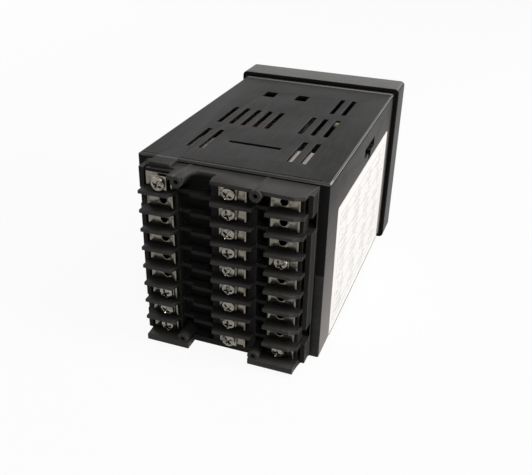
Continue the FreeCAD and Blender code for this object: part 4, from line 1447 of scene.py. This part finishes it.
@dataclass
class FrontPanel:
    """Panel with its window, indicator lamps, keys and displays.

    Attributes:
        nodes: nodes of the frame by name.
        keys: node, body and mark of each key.
        displays: the rows of digits.
        ease: rounding of the panel's edges.
        key_ease: rounding of the keys' edges.
        margin: distance from the window to the pale line round it.
    """

    nodes: Mapping[str, bpy.types.Object]
    keys: Sequence[tuple[str, Body, KeyMark]] = (
        ("key_set", Body.SET_KEY, KeyMark.RING), ("key_shift", Body.SHIFT_KEY, KeyMark.LEFT),
        ("key_down", Body.DOWN_KEY, KeyMark.DOWN), ("key_up", Body.UP_KEY, KeyMark.UP))
    displays: Sequence[DisplayRow] = (
        DisplayRow("pv_display", 4, 14.2, 13.6, 1.9, (0.5, 0.22, 0.2)),
        DisplayRow("sv_display", 4, 8.6, 9.2, 1.2, (0.22, 0.42, 0.26)))
    ease: float = 0.15
    key_ease: float = 0.35
    margin: float = 2.4

    def build(self) -> None:
        """Make the panel, window, lamps, keys and digits."""
        low, high = span("display_window")
        face = BorderedPanel(
            "panel plastic", (0.02, 0.02, 0.021), (0.035, 0.035, 0.034), roughness=0.42, grain=0.3,
            grain_depth=0.01, rub=0.4, half_wide=high[0] + self.margin, low=low[2] - self.margin,
            high=high[2] + self.margin)
        for node, piece, finish, slot in (
                ("front_panel", "panel_face", face, Slot.PANEL),
                ("display_window", "smoked_window", SmokedWindow("smoked window"), Slot.WINDOW),
                ("indicator_lenses", "lamp_lenses", LampLens("lamp lens", (0.3, 0.05, 0.035)), Slot.LAMPS)):
            fit(softened(self.nodes[node], piece, self.ease), finish.material(), Body.CASE, slot, node)
        for node, body, mark in self.keys:
            self._build_key(node, body, mark)
        for display in self.displays:
            display.build()

    def _build_key(self, node: str, body: Body, mark: KeyMark) -> None:
        """Make one key.

        Args:
            node: the key's node.
            body: body that it moves with.
            mark: mark on its face.
        """
        low, high = span(node)
        across, _, up = (low + high) / 2.0
        finish = MarkedKey(node + " plastic", (0.085, 0.086, 0.09), (0.12, 0.12, 0.12), roughness=0.5,
                           grain=0.3, grain_depth=0.012, mark=mark, across=across, up=up)
        cap = softened(self.nodes[node], node + "_cap", self.key_ease)
        fit(cap, finish.material(), body, Slot.KEYS, node)


@dataclass
class TerminalColumn:
    """One column of terminals: plates with upturned lugs, and screws with captive square washers.

    Attributes:
        side: name of the column.
        middle: sideways middle of its plates, X.
        hole: sideways place of the holes from that middle.
        rows: rows that have a screw, counted from 1 at the top.
        loose: row whose screw is backed out, or 0.
        first: height of the top row, Z.
        pitch: distance between rows.
        seat: depth where the plates' backs lie, Y.
        plate: width, thickness and height of a plate.
        plate_lift: how far a plate's middle lies above its screw.
        lug: how far a lug stands out from its plate.
        lug_sunk: how far it starts inside the plate.
        lug_ease: rounding of its edges.
        thread: radius of the thread.
        slack: how much thinner the shank is.
        washer: side and thickness of a washer.
        washer_ease: rounding of its edges.
        head: radius and height of a head.
        backed_out: how far the loose screw stands out.
        shank: length of a shank.
    """

    side: str
    middle: float
    hole: float
    rows: Sequence[int]
    loose: int = 0
    first: float = 37.936
    pitch: float = 9.5278
    seat: float = 143.5
    plate: Triple = (13.4, 1.0, 6.4)
    plate_lift: float = 0.444
    lug: float = 1.4
    lug_sunk: float = 0.1
    lug_ease: float = 0.25
    thread: float = 1.75
    slack: float = 0.02
    washer: Spot = (7.0, 0.9)
    washer_ease: float = 0.18
    head: Spot = (3.3, 2.3)
    backed_out: float = 2.3
    shank: float = 5.1

    def _height(self, row: int) -> float:
        """Height of a row's screw in mm."""
        return self.first - (row - 1) * self.pitch

    def _plates(self) -> Shape:
        """Make the plates.

        Returns:
            A pierced plate and its lug for every row.
        """
        wide, thick, tall = self.plate
        left, right = self.middle - wide / 2.0, self.middle + wide / 2.0
        shape = Shape()
        for row in range(1, ROWS + 1):
            up = self._height(row)
            foot, top = up + self.plate_lift - tall / 2.0, up + self.plate_lift + tall / 2.0
            hole = (self.middle + self.hole, up, self.thread)
            shape.add(pierced_plate((left, foot), (right, top), hole, self.seat, thick), ring=True)
            shape.add(rounded_bar((left, self.seat + self.lug_sunk, foot),
                                  (left + thick, self.seat + thick + self.lug, top), self.lug_ease))
        return shape

    def _screws(self) -> Shape:
        """Make the screws, each turned its own way.

        Returns:
            Washer, head and shank of each screw.
        """
        half, thick = self.washer[0] / 2.0, self.washer[1]
        across, shank = self.middle + self.hole, self.thread - self.slack
        shape = Shape()
        for number, row in enumerate(self.rows):
            up = self._height(row)
            face = self.seat + self.plate[1] + (self.backed_out if row == self.loose else 0.0)
            turned = 0.35 + 2.4 * number + 0.9 * self.middle
            washer = pierced_plate((across - half, up - half), (across + half, up + half),
                                   (across, up, shank), face, thick, self.washer_ease, thread=0.0)
            shape.add(washer, ring=True)
            shape.add(pan_head((across, face + thick, up), *self.head, turned))
            shape.add(threaded_shank((across, face, up), shank, self.shank))
        return shape

    def build(self, plating: bpy.types.Material, bright: bpy.types.Material) -> None:
        """Make the plates and the screws.

        Args:
            plating: finish of the plates.
            bright: finish of the screws.
        """
        for kind, shape, finish, slot in (("plates", self._plates(), plating, Slot.CONTACTS),
                                          ("screws", self._screws(), bright, Slot.SCREWS)):
            node = f"terminal_{kind}_{self.side}"
            fit(shape.build(f"{kind}_{self.side}"), finish, Body.CASE, slot, node)


@dataclass
class Terminals:
    """All three terminal columns.

    Attributes:
        columns: the columns.
        plating: finish of the plates.
        bright: finish of the screws.
    """

    columns: Sequence[TerminalColumn] = (
        TerminalColumn("left", 29.7, -1.3, (1, 7, 8, 9), loose=1),
        TerminalColumn("middle", -5.1, 1.5, tuple(range(1, ROWS + 1))),
        TerminalColumn("right", -28.9, 0.8, (4, 9)))
    plating: PlatedMetal = PlatedMetal(
        "nickel plates", (0.185, 0.172, 0.145), (0.05, 0.043, 0.032), roughness=0.15)
    bright: PlatedMetal = PlatedMetal(
        "nickel screws", (0.24, 0.226, 0.195), (0.035, 0.031, 0.024), roughness=0.1, grain=(1.0, 1.0, 1.0))

    def build(self) -> None:
        """Make every column."""
        plating, bright = self.plating.material(), self.bright.material()
        for column in self.columns:
            column.build(plating, bright)
            LOG.info("terminals, %s column: %d screws", column.side, len(column.rows))


@dataclass
class DressedNodes:
    """The label, and the boards and their parts behind the vents: nodes that only get a finish.

    Attributes:
        nodes: nodes of the frame by name.
        finishes: finish of each group of nodes.
    """

    nodes: Mapping[str, bpy.types.Object]
    finishes: Mapping[tuple[str, ...], Finish] = field(default_factory=lambda: {
        ("side_label",): PrintedFilm("label film", (0.765, 0.75, 0.735), (0.28, 0.28, 0.29)),
        ("display_board", "power_board", "input_board", "terminal_board"): CircuitBoard("circuit board"),
        ("relay_left", "relay_right", "relay_low"): MouldedPlastic(
            "relay plastic", (0.8, 0.72, 0.66), (0.86, 0.8, 0.75), roughness=0.5, rub=0.4),
        ("film_capacitor",): MouldedPlastic(
            "dipped capacitor", (0.16, 0.025, 0.02), (0.22, 0.05, 0.04), roughness=0.25, grain=1.2),
        ("filter_capacitor",): ShrinkSleeve(
            "filter sleeve", (0.03, 0.022, 0.028), (0.5, 0.48, 0.44), -6.5),
        ("output_capacitor",): ShrinkSleeve(
            "output sleeve", (0.02, 0.03, 0.06), (0.5, 0.48, 0.44), -22.0),
        ("transformer_core",): LayeredPart(
            "core laminations", (0.07, 0.065, 0.06), (0.02, 0.02, 0.02), Axis.X, 0.5),
        ("transformer_coil",): LayeredPart(
            "coil tape", (0.62, 0.5, 0.1), (0.35, 0.27, 0.05), Axis.Z, 3.0, roughness=0.3),
        # Its rear, behind Y 51, is painted shade.
        ("box_capacitor",): RimPlastic(
            "polyester capacitor", (0.7, 0.66, 0.36), (0.8, 0.78, 0.6), roughness=0.3, rub=0.6, back=51.0),
        ("heat_sink",): PlatedMetal(
            "heat sink aluminium", (0.8, 0.8, 0.8), (0.62, 0.62, 0.62), roughness=0.35,
            grain=(1.0, 14.0, 1.0)),
        ("regulator", "micro_chip", "opto_row"): MouldedPlastic(
            "chip plastic", (0.02, 0.02, 0.022), (0.04, 0.04, 0.04), roughness=0.45),
        ("header_power", "header_input", "key_switches"): MouldedPlastic(
            "header plastic", (0.03, 0.03, 0.03), (0.06, 0.06, 0.06), roughness=0.5),
        ("pv_display", "sv_display"): MouldedPlastic(
            "display potting", (0.03, 0.03, 0.032), (0.05, 0.05, 0.05), roughness=0.35,
            grain_depth=0.005),
    })

    def build(self) -> None:
        """Dress every node."""
        for names, finish in self.finishes.items():
            material = finish.material()
            for name in names:
                dress(self.nodes[name], material)


# --- Studio ---
@dataclass(frozen=True)
class SoftBox:
    """Round soft box.

    Attributes:
        name: its name.
        place: its place in metres.
        size: its size in metres.
        power: its power in watts.
        colour: colour of its light.
    """

    name: str
    place: Triple
    size: float
    power: float
    colour: Colour

    def hang(self, aim: Triple) -> None:
        """Hang the box.

        Args:
            aim: place in metres that it faces.
        """
        lamp = bpy.data.lights.new(self.name, "AREA")
        lamp.shape, lamp.size, lamp.energy, lamp.color = "DISK", self.size, self.power, self.colour
        item = linked(self.name, lamp)
        item.location = self.place
        item.rotation_euler = (Vector(self.place) - Vector(aim)).to_track_quat("Z", "Y").to_euler()


@dataclass
class Studio:
    """Pale floor, soft lights and the camera.

    Attributes:
        floor_half: half the size of the floor in metres.
        floor_colour: colour of the floor.
        fibre_colour: colour of the paper's darker fibres.
        floor_glow: strength with which the camera sees the floor as white.
        glow_share: how much of that shows over the floor's own shade, from 0 to 1.
        ambient: strength of the light from all round.
        lamps: the soft boxes.
        aim: place in metres that the soft boxes face.
        camera_place: place of the camera in metres.
        camera_axes: directions to the camera's right, up and back.
        lens: focal length in mm.
        sensor: width of the sensor.
    """

    floor_half: float = 4.0
    floor_colour: Colour = (0.55, 0.55, 0.55)
    fibre_colour: Colour = (0.5, 0.5, 0.5)
    floor_glow: float = 1.04
    glow_share: float = 0.9
    ambient: float = 0.07
    lamps: Sequence[SoftBox] = (
        SoftBox("overhead box", (-0.6, 0.1, 1.1), 0.5, 5.5, (1.0, 0.995, 0.985)),
        SoftBox("side box", (-1.1, 0.06, 0.3), 0.7, 11.0, (1.0, 0.99, 0.98)),
        SoftBox("front box", (1.15, -0.75, 0.35), 0.5, 5.0, (1.0, 0.995, 0.99)),
        SoftBox("small spot", (-0.55, 0.9, 1.15), 0.14, 2.2, (1.0, 0.99, 0.97)))
    aim: Triple = (0.0, 0.08, 0.0)
    camera_place: Triple = (-0.10717, 0.39146, 0.16379)
    camera_axes: Sequence[Triple] = (
        (-0.939195, -0.342678, 0.022004), (0.183365, -0.446318, 0.875887), (-0.290326, 0.826663, 0.482015))
    lens: float = 47.01
    sensor: float = 36.0

    def _floor_material(self) -> bpy.types.Material:
        """Build the floor's material.

        Returns:
            Matt pale paper that the camera and reflections see as near white, with the shadow kept.
        """
        recipe = Recipe("studio paper")
        shade = recipe.blend(recipe.noise(2.0, detail=3.0) * 0.06, self.floor_colour, self.fibre_colour)
        paper = recipe.node("ShaderNodeBsdfPrincipled", None, {"Base Color": shade, "Roughness": 0.9})
        glow = recipe.node("ShaderNodeEmission", None, {"Color": WHITE, "Strength": self.floor_glow})
        recipe.close_mixed(recipe.seen() * self.glow_share, paper, glow)
        return recipe.owner

    def _build_floor(self) -> None:
        """Make the floor just under the part."""
        level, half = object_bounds()[0][2], self.floor_half
        mesh = bpy.data.meshes.new("studio_floor")
        corners = ((-half, -half), (half, -half), (half, half), (-half, half))
        mesh.from_pydata([(*corner, level) for corner in corners], [], [(0, 1, 2, 3)])
        floor = linked("studio_floor", mesh)
        dress(floor, self._floor_material())
        floor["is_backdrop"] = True

    def _build_world(self) -> None:
        """Make even light from all round, which backgrounds show as white."""
        world = bpy.data.worlds.new("studio air")
        air = Tree(world, "ShaderNodeOutputWorld")
        light, white = (air.node("ShaderNodeBackground", None, {"Color": WHITE, "Strength": strength})
                        for strength in (self.ambient, 1.0))
        air.close_mixed(air.seen(), light, white)
        bpy.context.scene.world = world

    def _build_camera(self) -> None:
        """Set up the camera."""
        data = bpy.data.cameras.new("camera")
        data.lens, data.sensor_width = self.lens, self.sensor
        item = linked("camera", data)
        item.matrix_world = Matrix([*zip(*self.camera_axes, self.camera_place), (0.0, 0.0, 0.0, 1.0)])
        bpy.context.scene.camera = item

    def build(self) -> None:
        """Set up floor, air, lamps and camera."""
        self._build_floor()
        self._build_world()
        for lamp in self.lamps:
            lamp.hang(self.aim)
        self._build_camera()
        bpy.context.scene.view_settings.view_transform = "Standard"


def main() -> None:
    """Load the frame, build and dress every sub-assembly, and set up the studio."""
    logging.basicConfig(level=logging.INFO, format="%(name)s: %(message)s")
    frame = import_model()
    nodes = frame["nodes"]
    for part in (CaseShell(nodes), FrontBezel(nodes), FrontPanel(nodes), TerminalBlock(nodes), Terminals(),
                 DressedNodes(nodes), Studio()):
        part.build()
        LOG.info("%s built", type(part).__name__)


if __name__ == "__main__":
    main()
